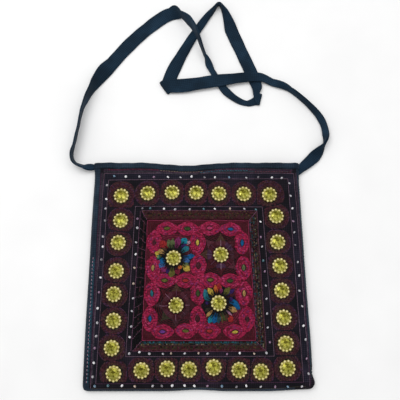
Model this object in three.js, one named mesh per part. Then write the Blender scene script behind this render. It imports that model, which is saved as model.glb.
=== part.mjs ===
// An embroidered cloth crossbody bag, lying on its back with its long strap laid out beyond the mouth.
// Millimetres. +X to the right, +Y towards the mouth, +Z up. The origin is on the surface that the bag
// lies on, under the middle of the bag.
import * as THREE from 'three';

// Driving dimensions
const GAP = 0.3; // clearance between neighbouring pieces
const BAG = {
  bottom: -145.5, // lowest edge, in Y
  mouth: 145.5, // the bound lip of the mouth, in Y
  mouthLeft: -139.7, // side edges at the mouth and at the bottom, in X
  mouthRight: 134.8,
  bottomLeft: -142.6,
  bottomRight: 142.6,
};
const CLOTH = { back: 2, front: 2.2, patch: 1, binding: 0.9 }; // wall thicknesses
const PUFF = { roll: 6, shoulder: 11, crown: 4.5 }; // turned edge, height beside it, rise in the middle
const BINDING = { reach: 8, round: 0.8 }; // how far the strip covers the lip, and its rounded fold
const BACK_LIP = 6; // the back's lip stands this far short of the front's
const SLOT = { left: 7.7, right: 5.9 }; // height of the open seam ends that take the strap
const STRAP = { wide: 20, thick: 2, layer: 2.3, crease: 3, chamfer: 0.5, step: 17, twist: 24 };
const GEM = { petals: 12, seat: 0.4 };

const COLOURS = {
  ground: { color: 0x1b1d28, roughness: 0.85 },
  navy: { color: 0x18283a, roughness: 0.8 },
  magenta: { color: 0x8c1f4a, roughness: 0.7 },
  strip: { color: 0x4a3a24, roughness: 0.8 },
  gem: { color: 0xd6cc6a, roughness: 0.25 },
};

// Where the soft edges draw in: a dip is centred at a place along the edge and fades over its reach
const MOUTH_DIPS = [{ at: -16, reach: 60, depth: 4 }];
const BOTTOM_DIPS = [
  { at: -2, reach: 40, depth: 1.6 },
  { at: 142, reach: 60, depth: 2.4 },
];
// Shallow dents in the puffed front
const DENTS = [
  { x: -16, y: 138, reachX: 70, reachY: 34, depth: 0.6 },
  { x: -62, y: -58, reachX: 44, reachY: 36, depth: 1.0 },
  { x: 74, y: 34, reachX: 36, reachY: 60, depth: 0.9 },
  { x: 112, y: -122, reachX: 34, reachY: 26, depth: 1.1 },
];

// The magenta patch and the outer line of its mitred frame, as corners in plan
const PATCH = {
  topLeft: [-67, 66.5], topRight: [66, 66.5], bottomRight: [72, -86], bottomLeft: [-71, -86],
};
const FRAME = {
  topLeft: [-74, 79], topRight: [76.5, 79], bottomRight: [84, -98], bottomLeft: [-81.5, -98],
};

// Rows of gems: evenly spaced between two ends, with the drift along and aside of hand sewing
const GEM_ROWS = [
  {
    name: 'top', from: [-102, 99.2], to: [93.6, 100.7],
    along: [0, 2.4, 1.9, 1.1, -1.5, -1.3, 0], aside: [0, 3, 3.7, 3, 1.6, 1, 0],
  },
  {
    name: 'right', from: [101.7, 71.9], to: [108.6, -89.1],
    along: [0, 1.8, 0.3, -0.8, 0.5, 0], aside: [0, -0.7, -0.2, -0.1, -0.2, 0],
  },
  {
    name: 'bottom', from: [-104.2, -124.6], to: [109.9, -118.2],
    along: [0, 3.6, 4.4, 0.9, 0.6, 1.6, -2.3, 0], aside: [0, 2.9, 4.1, 2.4, 3.9, 0, -3.1, 0],
  },
  {
    name: 'left', from: [-101.7, 66.1], to: [-107.6, -94.2],
    along: [0, -3.1, 1.2, -1.5, -0.9, 0], aside: [0, -1, -1.1, -2, -0.1, 0],
  },
];
const CENTRE_GEMS = [[-31.6, 16.9], [28.6, 21.2], [-27.7, -42.2], [25.4, -39.6]];

// The strap's stations from the left corner to the right one. x, y: middle of the strap in plan.
// lift: its underside above the surface. wide, thick: its section, narrower and thicker where it is
// doubled lengthwise. tilt: how far it stands on edge. across: heading of its section, square to the
// route where none is given. fold: the strap doubles back over itself along that heading.
const ROUTE = [
  { x: -131, y: 141, lift: 2.3, wide: 7.4, thick: 4.6, across: 270 },
  { x: -142, y: 141, lift: 2.3, wide: 7.4, thick: 4.6, across: 270 },
  { x: -156, y: 141.5, lift: 0.6, wide: 14, thick: 2.8, tilt: 66, across: 268 },
  { x: -168, y: 147, tilt: 80, across: 225 },
  { x: -172, y: 158, tilt: 100, across: 185 },
  { x: -170, y: 169, tilt: 118, across: 160 },
  { x: -165.5, y: 194, tilt: 105, across: 172 },
  { x: -160, y: 226, tilt: 102, across: 160 },
  { x: -148, y: 255, tilt: 78, across: 144 },
  { x: -122.3, y: 297 },
  { x: -77, y: 347.5 },
  { x: -34, y: 374.5, wide: 20.8, across: 117 },
  { x: -21, y: 367, lift: 1.5, tilt: 100, across: 97 },
  { x: -12.5, y: 357, lift: 3.6, tilt: 90, across: 38 },
  { x: -4.5, y: 343.5, lift: 4.4, tilt: 94, across: 30 },
  { x: 9, y: 304, tilt: 94, across: 20 },
  { x: 19.5, y: 283, wide: 8, thick: 4.2 },
  { x: 40, y: 251, wide: 11.2, thick: 3.6 },
  { x: 67, y: 234.8, wide: 8, thick: 2.1, across: 85 },
  { x: 86.5, y: 240, wide: 17.5, across: 78, fold: true },
  { x: 82.5, y: 257, lift: 2.3, wide: 15, thick: 2.2, across: 23 },
  { x: 78.5, y: 271, wide: 17.5, thick: 2.3 },
  { x: 47.5, y: 347, wide: 18.5, thick: 2.1 },
  { x: 36.5, y: 377.5, wide: 10.8, thick: 3.6, tilt: 67, across: 30 },
  { x: 29.6, y: 387.5, wide: 10.2, thick: 3.8, tilt: 107, across: 90 },
  { x: 21, y: 377.5, wide: 10.4, thick: 3.8, tilt: 80, across: 140 },
  { x: -3, y: 345.5, wide: 11.6, thick: 3.4 },
  { x: -34.5, y: 288, wide: 18.5, thick: 2.2 },
  { x: -49, y: 257, wide: 22, across: 124, fold: true },
  { x: -19, y: 260.5, lift: 3.4, wide: 20.3 },
  { x: 31, y: 267.5, lift: 4.9, wide: 17.8, thick: 2.3 },
  { x: 86, y: 272.5, lift: 4.1, wide: 12.6, thick: 3.1 },
  { x: 104, y: 265.5, lift: 1.2, wide: 11, thick: 3.6 },
  { x: 129.5, y: 253, wide: 10.4, thick: 3.8, tilt: 87, across: 60 },
  { x: 168.5, y: 211.5, wide: 10.4, thick: 3.8, tilt: 90, across: 28 },
  { x: 175, y: 187.5, wide: 10.4, thick: 3.8, tilt: 74, across: 5 },
  { x: 172.5, y: 174, wide: 10.4, thick: 3.8, tilt: 105, across: 325 },
  { x: 158, y: 156, lift: 0.6, wide: 16.6, thick: 2.4, tilt: 180 },
  { x: 139.5, y: 140, lift: 2.3, wide: 12.4, thick: 3, tilt: 180 },
  { x: 127, y: 131, lift: 2.3, wide: 12, thick: 3, tilt: 180 },
];

const UP = new THREE.Vector3(0, 0, 1);
const lerp = THREE.MathUtils.lerp;
const degToRad = THREE.MathUtils.degToRad;

// How far an edge is drawn in at a place along it
function drawnIn(dips, at) {
  let sum = 0;
  for (const dip of dips) {
    const s = Math.min(Math.abs(at - dip.at) / dip.reach, 1);
    sum += dip.depth * (0.5 + 0.5 * Math.cos(Math.PI * s));
  }
  return sum;
}

const mouthEdge = (x) => BAG.mouth - drawnIn(MOUTH_DIPS, x);
const lipEdge = (x) => mouthEdge(x) - CLOTH.binding - GAP;
const bottomEdge = (x) => BAG.bottom + drawnIn(BOTTOM_DIPS, x);

function sideEdge(atBottom, atMouth, y) {
  const t = (y - BAG.bottom) / (BAG.mouth - BAG.bottom);
  return lerp(atBottom, atMouth, t);
}

const leftEdge = (y) => sideEdge(BAG.bottomLeft, BAG.mouthLeft, y);
const rightEdge = (y) => sideEdge(BAG.bottomRight, BAG.mouthRight, y);

// Height of the front's outer face, away from its turned edges
function frontTop(x, y) {
  const s = x / BAG.bottomRight;
  const t = y / BAG.mouth;
  let z = PUFF.shoulder + PUFF.crown * Math.max(1 - s * s, 0) * Math.max(1 - t ** 4, 0);
  for (const dent of DENTS) {
    const a = (x - dent.x) / dent.reachX;
    const b = (y - dent.y) / dent.reachY;
    z -= dent.depth * Math.exp(-a * a - b * b);
  }
  return z;
}

// Outward direction of the front's face
function frontNormal(x, y) {
  const h = 1;
  const dx = (frontTop(x + h, y) - frontTop(x - h, y)) / (2 * h);
  const dy = (frontTop(x, y + h) - frontTop(x, y - h)) / (2 * h);
  return new THREE.Vector3(-dx, -dy, 1).normalize();
}

// A closed body from points and triangles, with its faces turned outwards
function solid(points, triangles) {
  let volume = 0;
  for (const [a, b, c] of triangles) {
    volume += points[a].dot(points[b].clone().cross(points[c]));
  }
  const index = triangles.flatMap(([a, b, c]) => (volume < 0 ? [a, c, b] : [a, b, c]));
  const geometry = new THREE.BufferGeometry().setFromPoints(points);
  geometry.setIndex(index);
  geometry.computeVertexNormals();
  return geometry;
}

// A cloth wall: one grid of points for each face, closed by a rim round the edge
function wall(columns, rows, upper, lower) {
  const points = [];
  const triangles = [];
  for (const face of [upper, lower]) {
    for (let j = 0; j < rows; j++) {
      for (let i = 0; i < columns; i++) {
        points.push(face(i, j));
      }
    }
  }
  const at = (i, j, face) => face * columns * rows + j * columns + i;
  for (let j = 0; j < rows - 1; j++) {
    for (let i = 0; i < columns - 1; i++) {
      const quad = [at(i, j, 0), at(i + 1, j, 0), at(i + 1, j + 1, 0), at(i, j + 1, 0)];
      const under = quad.map((k) => k + columns * rows);
      triangles.push([quad[0], quad[1], quad[2]], [quad[0], quad[2], quad[3]]);
      triangles.push([under[2], under[1], under[0]], [under[3], under[2], under[0]]);
    }
  }
  const rim = [];
  for (let i = 0; i < columns - 1; i++) rim.push([i, 0]);
  for (let j = 0; j < rows - 1; j++) rim.push([columns - 1, j]);
  for (let i = columns - 1; i > 0; i--) rim.push([i, rows - 1]);
  for (let j = rows - 1; j > 0; j--) rim.push([0, j]);
  rim.forEach(([i, j], k) => {
    const [m, n] = rim[(k + 1) % rim.length];
    const quad = [at(i, j, 0), at(i, j, 1), at(m, n, 1), at(m, n, 0)];
    triangles.push([quad[0], quad[1], quad[2]], [quad[0], quad[2], quad[3]]);
  });
  return solid(points, triangles);
}

// Rings of points joined one after the other along their shorter diagonals, with both ends closed by
// the same triangles
function loft(rings, cap) {
  const points = rings.flat();
  const count = rings[0].length;
  const last = (rings.length - 1) * count;
  const triangles = [];
  for (let r = 0; r < rings.length - 1; r++) {
    for (let k = 0; k < count; k++) {
      const a = r * count + k;
      const b = r * count + ((k + 1) % count);
      const [c, d] = [b + count, a + count];
      if (points[a].distanceTo(points[c]) < points[b].distanceTo(points[d])) {
        triangles.push([a, b, c], [a, c, d]);
      } else {
        triangles.push([a, b, d], [b, c, d]);
      }
    }
  }
  for (const [a, b, c] of cap) {
    triangles.push([c, b, a], [last + a, last + b, last + c]);
  }
  return solid(points, triangles);
}

const fan = (count) => Array.from({ length: count - 2 }, (_, k) => [0, k + 1, k + 2]);

// Triangles across a flat outline, wound the same way as the outline is
function fill(outline) {
  const round = Math.sign(THREE.ShapeUtils.area(outline));
  return THREE.ShapeUtils.triangulateShape(outline, []).map(([a, b, c]) => {
    const turn = THREE.ShapeUtils.area([outline[a], outline[b], outline[c]]);
    return Math.sign(turn) === round ? [a, b, c] : [a, c, b];
  });
}

function addPiece(group, name, geometry, finish) {
  const mesh = new THREE.Mesh(geometry, new THREE.MeshStandardMaterial({ ...finish, metalness: 0 }));
  mesh.name = name;
  group.add(mesh);
  return mesh;
}

// The front: turned down at both sides and the bottom, where it meets the back, and open at the mouth.
// Near the mouth its side seams stop and lift, to let the strap's ends in.
const ROLL_STEPS = [0, 0.15, 0.5, 1];
const SPAN_COLUMNS = 14;
const SPAN_ROWS = 15;
const SEAM_END_ROWS = [118, 127, 136];
const SEAM = CLOTH.back + GAP;

function seamHeight(x, y) {
  const left = x < 0;
  const closed = left ? SEAM_END_ROWS[1] : SEAM_END_ROWS[0];
  const open = left ? SEAM_END_ROWS[2] : SEAM_END_ROWS[1];
  const t = THREE.MathUtils.clamp((y - closed) / (open - closed), 0, 1);
  return lerp(SEAM, left ? SLOT.left : SLOT.right, t);
}

function frontColumns() {
  const columns = ROLL_STEPS.map((roll) => ({ roll, left: true }));
  for (let k = 1; k < SPAN_COLUMNS; k++) columns.push({ span: k / SPAN_COLUMNS });
  for (const roll of [...ROLL_STEPS].reverse()) columns.push({ roll, left: false });
  return columns;
}

function frontRows() {
  const rows = ROLL_STEPS.map((roll) => ({ roll, y: BAG.bottom + roll * PUFF.roll }));
  const first = BAG.bottom + PUFF.roll;
  for (let k = 1; k <= SPAN_ROWS; k++) rows.push({ y: lerp(first, SEAM_END_ROWS[0], k / SPAN_ROWS) });
  for (const y of SEAM_END_ROWS.slice(1)) rows.push({ y });
  rows.push({ y: lipEdge(BAG.mouthLeft) });
  return rows;
}

// A point of the front's wall, inset 0 on its outer face and the wall's thickness on its inner one
function frontPoint(column, row, inset) {
  const roll = PUFF.roll - inset;
  const left = leftEdge(row.y) + inset;
  const right = rightEdge(row.y) - inset;
  let a = column.roll === undefined ? 0 : 1 - column.roll;
  let b = row.roll === undefined ? 0 : 1 - row.roll;
  const turned = Math.max(a, b);
  [a, b] = [a * Math.sqrt(1 - (b * b) / 2), b * Math.sqrt(1 - (a * a) / 2)];
  let x = lerp(left + roll, right - roll, column.span ?? (column.left ? 0 : 1));
  if (column.roll !== undefined) x += (column.left ? -a : a) * roll;
  const upper = THREE.MathUtils.smoothstep(row.y, 0, BAG.mouth);
  const lower = THREE.MathUtils.smoothstep(-row.y, 0, -BAG.bottom);
  let y = row.y - upper * drawnIn(MOUTH_DIPS, x) + lower * drawnIn(BOTTOM_DIPS, x);
  if (row.roll !== undefined) y = bottomEdge(x) + inset + roll * (1 - b);
  const foot = column.roll === undefined ? SEAM : seamHeight(x, row.y);
  const top = frontTop(x, y) - inset;
  return new THREE.Vector3(x, y, lerp(foot, top, Math.sqrt(1 - turned * turned)));
}

function frontPanel() {
  const columns = frontColumns();
  const rows = frontRows();
  const outer = (i, j) => frontPoint(columns[i], rows[j], 0);
  const inner = (i, j) => frontPoint(columns[i], rows[j], CLOTH.front);
  return wall(columns.length, rows.length, outer, inner);
}

// The back: a flat wall on the surface, with the bag's outline
const BOTTOM_POINTS = 10;

function backPanel() {
  const lip = BAG.mouth - BACK_LIP;
  const corner = BAG.bottom + PUFF.roll;
  const shape = new THREE.Shape();
  shape.moveTo(leftEdge(lip), lip);
  shape.lineTo(leftEdge(corner), corner);
  const start = leftEdge(corner) + PUFF.roll;
  const end = rightEdge(corner) - PUFF.roll;
  shape.quadraticCurveTo(leftEdge(corner), bottomEdge(start), start, bottomEdge(start));
  for (let k = 1; k <= BOTTOM_POINTS; k++) {
    const x = lerp(start, end, k / BOTTOM_POINTS);
    shape.lineTo(x, bottomEdge(x));
  }
  const high = bottomEdge(end) + PUFF.roll;
  shape.quadraticCurveTo(rightEdge(high), bottomEdge(end), rightEdge(high), high);
  shape.lineTo(rightEdge(lip), lip);
  shape.closePath();
  return new THREE.ExtrudeGeometry(shape, { depth: CLOTH.back, bevelEnabled: false, curveSegments: 4 });
}

// The binding: a strip folded over the lip, open towards the bag
const BINDING_STATIONS = 18;

function bindingSection(x) {
  const mouth = mouthEdge(x);
  const start = mouth - BINDING.reach;
  const throat = mouth - CLOTH.binding;
  const over = CLOTH.binding + GAP;
  const under = CLOTH.front + GAP;
  const low = frontTop(x, start);
  const lip = frontTop(x, mouth);
  const section = [
    [start, low + GAP],
    [start, low + over],
    [mouth - BINDING.round, lip + over],
    [mouth, lip + over - BINDING.round],
    [mouth, lip - under - CLOTH.binding + BINDING.round],
    [mouth - BINDING.round, lip - under - CLOTH.binding],
    [start, low - under - CLOTH.binding],
    [start, low - under],
    [throat, lip - under],
    [throat, lip + GAP],
  ];
  return section.map(([y, z]) => new THREE.Vector3(x, y, z));
}

function mouthBinding() {
  const inset = PUFF.roll + 2 * GAP;
  const left = leftEdge(BAG.mouth) + inset;
  const right = rightEdge(BAG.mouth) - inset;
  const rings = [];
  for (let k = 0; k <= BINDING_STATIONS; k++) {
    rings.push(bindingSection(lerp(left, right, k / BINDING_STATIONS)));
  }
  const outline = rings[0].map((p) => new THREE.Vector2(p.y, p.z));
  return loft(rings, fill(outline));
}

// A patch of cloth sewn on the front, between four corners in plan
function patch(topLeft, topRight, bottomRight, bottomLeft, columns, rows) {
  const face = (height) => (i, j) => {
    const u = i / (columns - 1);
    const v = j / (rows - 1);
    const x = lerp(lerp(bottomLeft[0], bottomRight[0], u), lerp(topLeft[0], topRight[0], u), v);
    const y = lerp(lerp(bottomLeft[1], bottomRight[1], u), lerp(topLeft[1], topRight[1], u), v);
    return new THREE.Vector3(x, y, frontTop(x, y) + height);
  };
  return wall(columns, rows, face(GAP + CLOTH.patch), face(GAP));
}

// The four frame strips, mitred where they meet, each a gap clear of the patch and of the next strip
const STRIP_STEPS = { along: 10, aside: 2 };

function frameStrips(group) {
  const names = ['topLeft', 'topRight', 'bottomRight', 'bottomLeft'];
  const sides = ['top', 'right', 'bottom', 'left'];
  sides.forEach((side, k) => {
    const a = names[k];
    const b = names[(k + 1) % names.length];
    const outerA = new THREE.Vector2(...FRAME[a]);
    const outerB = new THREE.Vector2(...FRAME[b]);
    const innerA = new THREE.Vector2(...PATCH[a]);
    const innerB = new THREE.Vector2(...PATCH[b]);
    const along = outerB.clone().sub(outerA).normalize().multiplyScalar(GAP);
    const away = new THREE.Vector2(-along.y, along.x);
    const corners = [
      outerA.clone().add(along),
      outerB.clone().sub(along),
      innerB.clone().sub(along).add(away),
      innerA.clone().add(along).add(away),
    ].map((p) => p.toArray());
    const strip = patch(...corners, STRIP_STEPS.along, STRIP_STEPS.aside);
    addPiece(group, `frame_strip_${side}`, strip, COLOURS.strip);
  });
}

// A gem: a flower of rounded petals round a cut stone with a flat table, in one body
const GEM_RINGS = [
  { tip: 9.2, notch: 8.2, tipZ: 0, notchZ: 0 },
  { tip: 10, notch: 8.7, tipZ: 1.1, notchZ: 1.0 },
  { tip: 8.3, notch: 7.9, tipZ: 2.5, notchZ: 1.7 },
];
const GEM_STONE = { girdle: 6.2, girdleZ: 1.6, table: 3.7, tableZ: 3.9 };

function gemGeometry() {
  const count = GEM.petals * 2;
  const points = [];
  const triangles = [];
  const polar = (radius, step, z) => {
    const angle = (step * Math.PI) / GEM.petals;
    return new THREE.Vector3(radius * Math.cos(angle), radius * Math.sin(angle), z);
  };
  for (const ring of GEM_RINGS) {
    for (let k = 0; k < count; k++) {
      points.push(k % 2 ? polar(ring.notch, k, ring.notchZ) : polar(ring.tip, k, ring.tipZ));
    }
  }
  for (let r = 0; r < GEM_RINGS.length - 1; r++) {
    for (let k = 0; k < count; k++) {
      const a = r * count + k;
      const b = r * count + ((k + 1) % count);
      triangles.push([a, b, b + count], [a, b + count, a + count]);
    }
  }
  const crest = (GEM_RINGS.length - 1) * count;
  const girdle = points.length;
  for (let k = 0; k < GEM.petals; k++) points.push(polar(GEM_STONE.girdle, 2 * k, GEM_STONE.girdleZ));
  const table = points.length;
  for (let k = 0; k < GEM.petals; k++) points.push(polar(GEM_STONE.table, 2 * k + 1, GEM_STONE.tableZ));
  const under = points.push(new THREE.Vector3(0, 0, 0)) - 1;
  const over = points.push(new THREE.Vector3(0, 0, GEM_STONE.tableZ)) - 1;
  for (let k = 0; k < GEM.petals; k++) {
    const next = (k + 1) % GEM.petals;
    const before = (2 * k + count - 1) % count;
    triangles.push(
      [crest + before, crest + 2 * k, girdle + k],
      [crest + 2 * k, crest + 2 * k + 1, girdle + k],
      [crest + 2 * k + 1, girdle + next, girdle + k],
      [girdle + k, girdle + next, table + k],
      [girdle + next, table + next, table + k],
      [table + k, table + next, over],
    );
  }
  for (let k = 0; k < count; k++) triangles.push([(k + 1) % count, k, under]);
  return solid(points, triangles);
}

function addGem(group, name, x, y, seat, turn) {
  const normal = frontNormal(x, y);
  const mesh = addPiece(group, name, gemGeometry(), COLOURS.gem);
  mesh.position.set(x, y, frontTop(x, y)).addScaledVector(normal, seat);
  mesh.quaternion.setFromUnitVectors(UP, normal);
  mesh.rotateZ(turn);
}

function gems(group) {
  const turnStep = 1.7;
  for (const row of GEM_ROWS) {
    const from = new THREE.Vector2(...row.from);
    const step = new THREE.Vector2(...row.to).sub(from).divideScalar(row.along.length - 1);
    const ahead = step.clone().normalize();
    const flat = Math.abs(ahead.x) > Math.abs(ahead.y);
    const aside = flat ? new THREE.Vector2(0, 1) : new THREE.Vector2(1, 0);
    row.along.forEach((drift, k) => {
      const place = from.clone().addScaledVector(step, k).addScaledVector(ahead, drift);
      place.addScaledVector(aside, row.aside[k]);
      addGem(group, `gem_${row.name}_${k + 1}`, place.x, place.y, GEM.seat, k * turnStep);
    });
  }
  const seat = GAP + CLOTH.patch + GEM.seat;
  CENTRE_GEMS.forEach(([x, y], k) => addGem(group, `gem_centre_${k + 1}`, x, y, seat, k * turnStep));
}

// Height of the middle of a section above the surface, when its lowest edge is at its lift
function strapMiddle(lift, wide, thick, tilt) {
  const lean = degToRad(tilt);
  return lift + (wide * Math.abs(Math.sin(lean)) + thick * Math.abs(Math.cos(lean))) / 2;
}

// The strap's stations, with each fold opened into its lower layer, its crease and its upper layer
function strapStations() {
  const stations = [];
  let turned = 0;
  for (const row of ROUTE) {
    const station = { lift: 0, wide: STRAP.wide, thick: STRAP.thick, tilt: 0, ...row };
    if (!row.fold) {
      stations.push({ ...station, turned });
      continue;
    }
    const inward = degToRad(row.across + (turned ? -90 : 90));
    const x = row.x + STRAP.crease * Math.cos(inward);
    const y = row.y + STRAP.crease * Math.sin(inward);
    stations.push({ ...station, x, y, turned });
    stations.push({ ...station, lift: station.lift + STRAP.layer / 2, turned: 90 });
    turned = 180 - turned;
    stations.push({ ...station, x, y, lift: station.lift + STRAP.layer, turned });
  }
  for (const station of stations) {
    const z = strapMiddle(station.lift, station.wide, station.thick, station.tilt);
    station.middle = new THREE.Vector3(station.x, station.y, z);
  }
  return stations;
}

// Headings of the sections, unwound so that each one turns the short way to the next
function strapHeadings(stations) {
  const headings = stations.map((station, k) => {
    if (station.across !== undefined) return station.across;
    const before = stations[Math.max(k - 1, 0)];
    const after = stations[Math.min(k + 1, stations.length - 1)];
    const route = THREE.MathUtils.radToDeg(Math.atan2(after.y - before.y, after.x - before.x));
    return route + (station.turned ? -90 : 90);
  });
  for (let k = 1; k < headings.length; k++) {
    headings[k] -= 360 * Math.round((headings[k] - headings[k - 1]) / 360);
  }
  return headings;
}

// One eight-sided section of the strap
function strapSection(middle, heading, tilt, turned, wide, thick) {
  const [h, t, f] = [heading, tilt, turned].map(degToRad);
  const plan = new THREE.Vector3(Math.cos(h), Math.sin(h), 0);
  const ahead = new THREE.Vector3(-Math.sin(h), Math.cos(h), 0);
  const across = plan.clone().multiplyScalar(Math.cos(t)).addScaledVector(UP, Math.sin(t));
  const face = plan.clone().multiplyScalar(-Math.sin(t)).addScaledVector(UP, Math.cos(t));
  const normal = face.multiplyScalar(Math.cos(f)).addScaledVector(ahead, Math.sin(f));
  const w = wide / 2;
  const d = thick / 2;
  const c = STRAP.chamfer;
  const half = [[w, d - c], [w - c, d], [c - w, d], [-w, d - c]];
  const outline = [...half, ...half.map(([a, n]) => [-a, -n])];
  return outline.map(([a, n]) => middle.clone().addScaledVector(across, a).addScaledVector(normal, n));
}

function strap() {
  const stations = strapStations();
  const headings = strapHeadings(stations);
  const curve = new THREE.CatmullRomCurve3(stations.map((station) => station.middle), false, 'centripetal');
  const spans = stations.length - 1;
  const rings = [];
  for (let k = 0; k < spans; k++) {
    const [from, to] = [stations[k], stations[k + 1]];
    const turn = Math.max(Math.abs(to.tilt - from.tilt), Math.abs(headings[k + 1] - headings[k]));
    const length = from.middle.distanceTo(to.middle);
    const steps = Math.ceil(Math.max(length / STRAP.step, turn / STRAP.twist));
    for (let s = k === 0 ? 0 : 1; s <= steps; s++) {
      const t = s / steps;
      const mix = (key) => lerp(from[key], to[key], t);
      const [wide, thick, tilt] = [mix('wide'), mix('thick'), mix('tilt')];
      const middle = curve.getPoint((k + t) / spans);
      middle.z = strapMiddle(mix('lift'), wide, thick, tilt);
      const heading = lerp(headings[k], headings[k + 1], t);
      rings.push(strapSection(middle, heading, tilt, mix('turned'), wide, thick));
    }
  }
  return loft(rings, fan(rings[0].length));
}

const PATCH_GRID = { columns: 11, rows: 12 };

const bag = new THREE.Group();
addPiece(bag, 'back_panel', backPanel(), COLOURS.navy);
addPiece(bag, 'front_panel', frontPanel(), COLOURS.ground);
addPiece(bag, 'mouth_binding', mouthBinding(), COLOURS.navy);
const centre = patch(
  PATCH.topLeft,
  PATCH.topRight,
  PATCH.bottomRight,
  PATCH.bottomLeft,
  PATCH_GRID.columns,
  PATCH_GRID.rows,
);
addPiece(bag, 'centre_panel', centre, COLOURS.magenta);
frameStrips(bag);
gems(bag);
addPiece(bag, 'strap', strap(), COLOURS.navy);

export default bag;
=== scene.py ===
"""Looks of an embroidered cloth crossbody bag, lying on its back with its strap laid out beyond the mouth.

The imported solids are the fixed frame. Lengths in the tables are millimetres, as in the part's source, and MM
turns them into Blender's metres. +X to the right, +Y towards the mouth, +Z up out of the embroidered front.
"""

import math
import random
from types import SimpleNamespace as Facts

import bmesh
import bpy
import numpy as np
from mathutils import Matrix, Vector


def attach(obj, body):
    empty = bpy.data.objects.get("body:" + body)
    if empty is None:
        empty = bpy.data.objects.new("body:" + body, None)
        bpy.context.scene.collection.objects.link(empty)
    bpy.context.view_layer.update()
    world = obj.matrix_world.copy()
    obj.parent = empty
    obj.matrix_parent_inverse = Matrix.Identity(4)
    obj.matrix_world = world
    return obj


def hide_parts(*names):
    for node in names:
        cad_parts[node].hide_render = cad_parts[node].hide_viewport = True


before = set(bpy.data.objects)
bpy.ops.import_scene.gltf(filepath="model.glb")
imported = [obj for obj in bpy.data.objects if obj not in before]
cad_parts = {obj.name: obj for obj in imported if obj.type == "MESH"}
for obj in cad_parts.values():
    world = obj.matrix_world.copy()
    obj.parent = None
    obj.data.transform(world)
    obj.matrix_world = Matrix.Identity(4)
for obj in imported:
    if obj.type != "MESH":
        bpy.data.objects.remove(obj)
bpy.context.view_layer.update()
MM = 0.001

# Camera: a 45 mm lens that looks down at the bag, tilted a little towards the mouth
CAMERA = Facts(lens=45, sensor=36, tilt=12, target=(1.926, 96.503), distance=673.61)

# Floor and light, in metres and watts: place, side and power of each softbox
FLOOR = Facts(side=8.0, drop=0.0003)
WORLD_LIGHT = 0.62
SOFTBOXES = {"softbox_left": ((-0.55, 0.5, 1.25), 0.8, 6), "softbox_top": ((0.3, 0.3, 1.5), 1.4, 7)}
SOFTBOX_AIM = (0, 0.1, 0)

# Sizes of the bag, as in the part's source
GAP = 0.3
BOTTOM, MOUTH = -145.5, 145.5
MOUTH_LEFT, MOUTH_RIGHT = -139.7, 134.8
BOTTOM_LEFT, BOTTOM_RIGHT = -142.6, 142.6
BACK_THICK, FRONT_THICK, PATCH_THICK, BINDING_THICK = 2.0, 2.2, 1.0, 0.9
ROLL, SHOULDER, CROWN = 6.0, 11.0, 4.5
BINDING_REACH = 8.0
BACK_LIP = 139.5
SEAM = BACK_THICK + GAP
LIP = MOUTH - BINDING_THICK - GAP
# Open seam ends that take the strap, left and right: closed below, open above, height when open
SEAM_ENDS = (Facts(closed=127, open=136, high=7.7), Facts(closed=118, open=127, high=5.9))
# Where the soft edges draw in: place along the edge, reach, depth
MOUTH_DIPS = [(-16, 60, 4.0)]
BOTTOM_DIPS = [(-2, 40, 1.6), (142, 60, 2.4)]
# Shallow dents in the front: x, y, reach in x, reach in y, depth
DENTS = [(-16, 138, 70, 34, 0.6), (-62, -58, 44, 36, 1.0), (74, 34, 36, 60, 0.9), (112, -122, 34, 26, 1.1)]

# Quadrilaterals on the front, as corners: top left, top right, bottom right, bottom left
PATCH = [(-67, 66.5), (66, 66.5), (72, -86), (-71, -86)]
FRAME = [(-74, 79), (76.5, 79), (84, -98), (-81.5, -98)]
INNER_LINE = [(-83, 85), (84, 84.3), (94, -104), (-90, -104.5)]
BAND_INNER = [(-120, 121.2), (119.2, 123), (129.4, -134.9), (-126.1, -136.7)]
BAND_OUTER = [(-126.3, 130.6), (127.5, 130.6), (137.2, -142.2), (-132.5, -142.6)]

# Rows of gems: evenly spaced between two ends, with the drift along and aside of hand sewing
GEM_ROWS = {
    "top": {"from": (-102, 99.2), "to": (93.6, 100.7),
            "along": (0, 2.4, 1.9, 1.1, -1.5, -1.3, 0), "aside": (0, 3, 3.7, 3, 1.6, 1, 0)},
    "right": {"from": (101.7, 71.9), "to": (108.6, -89.1),
              "along": (0, 1.8, 0.3, -0.8, 0.5, 0), "aside": (0, -0.7, -0.2, -0.1, -0.2, 0)},
    "bottom": {"from": (-104.2, -124.6), "to": (109.9, -118.2),
               "along": (0, 3.6, 4.4, 0.9, 0.6, 1.6, -2.3, 0), "aside": (0, 2.9, 4.1, 2.4, 3.9, 0, -3.1, 0)},
    "left": {"from": (-101.7, 66.1), "to": (-107.6, -94.2),
             "along": (0, -3.1, 1.2, -1.5, -0.9, 0), "aside": (0, -1, -1.1, -2, -0.1, 0)},
}
CENTRE_GEMS = [(-31.6, 16.9), (28.6, 21.2), (-27.7, -42.2), (25.4, -39.6)]
GEM_TURN = 1.7
GEM_SEAT = 0.4
PETALS = 12

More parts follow.
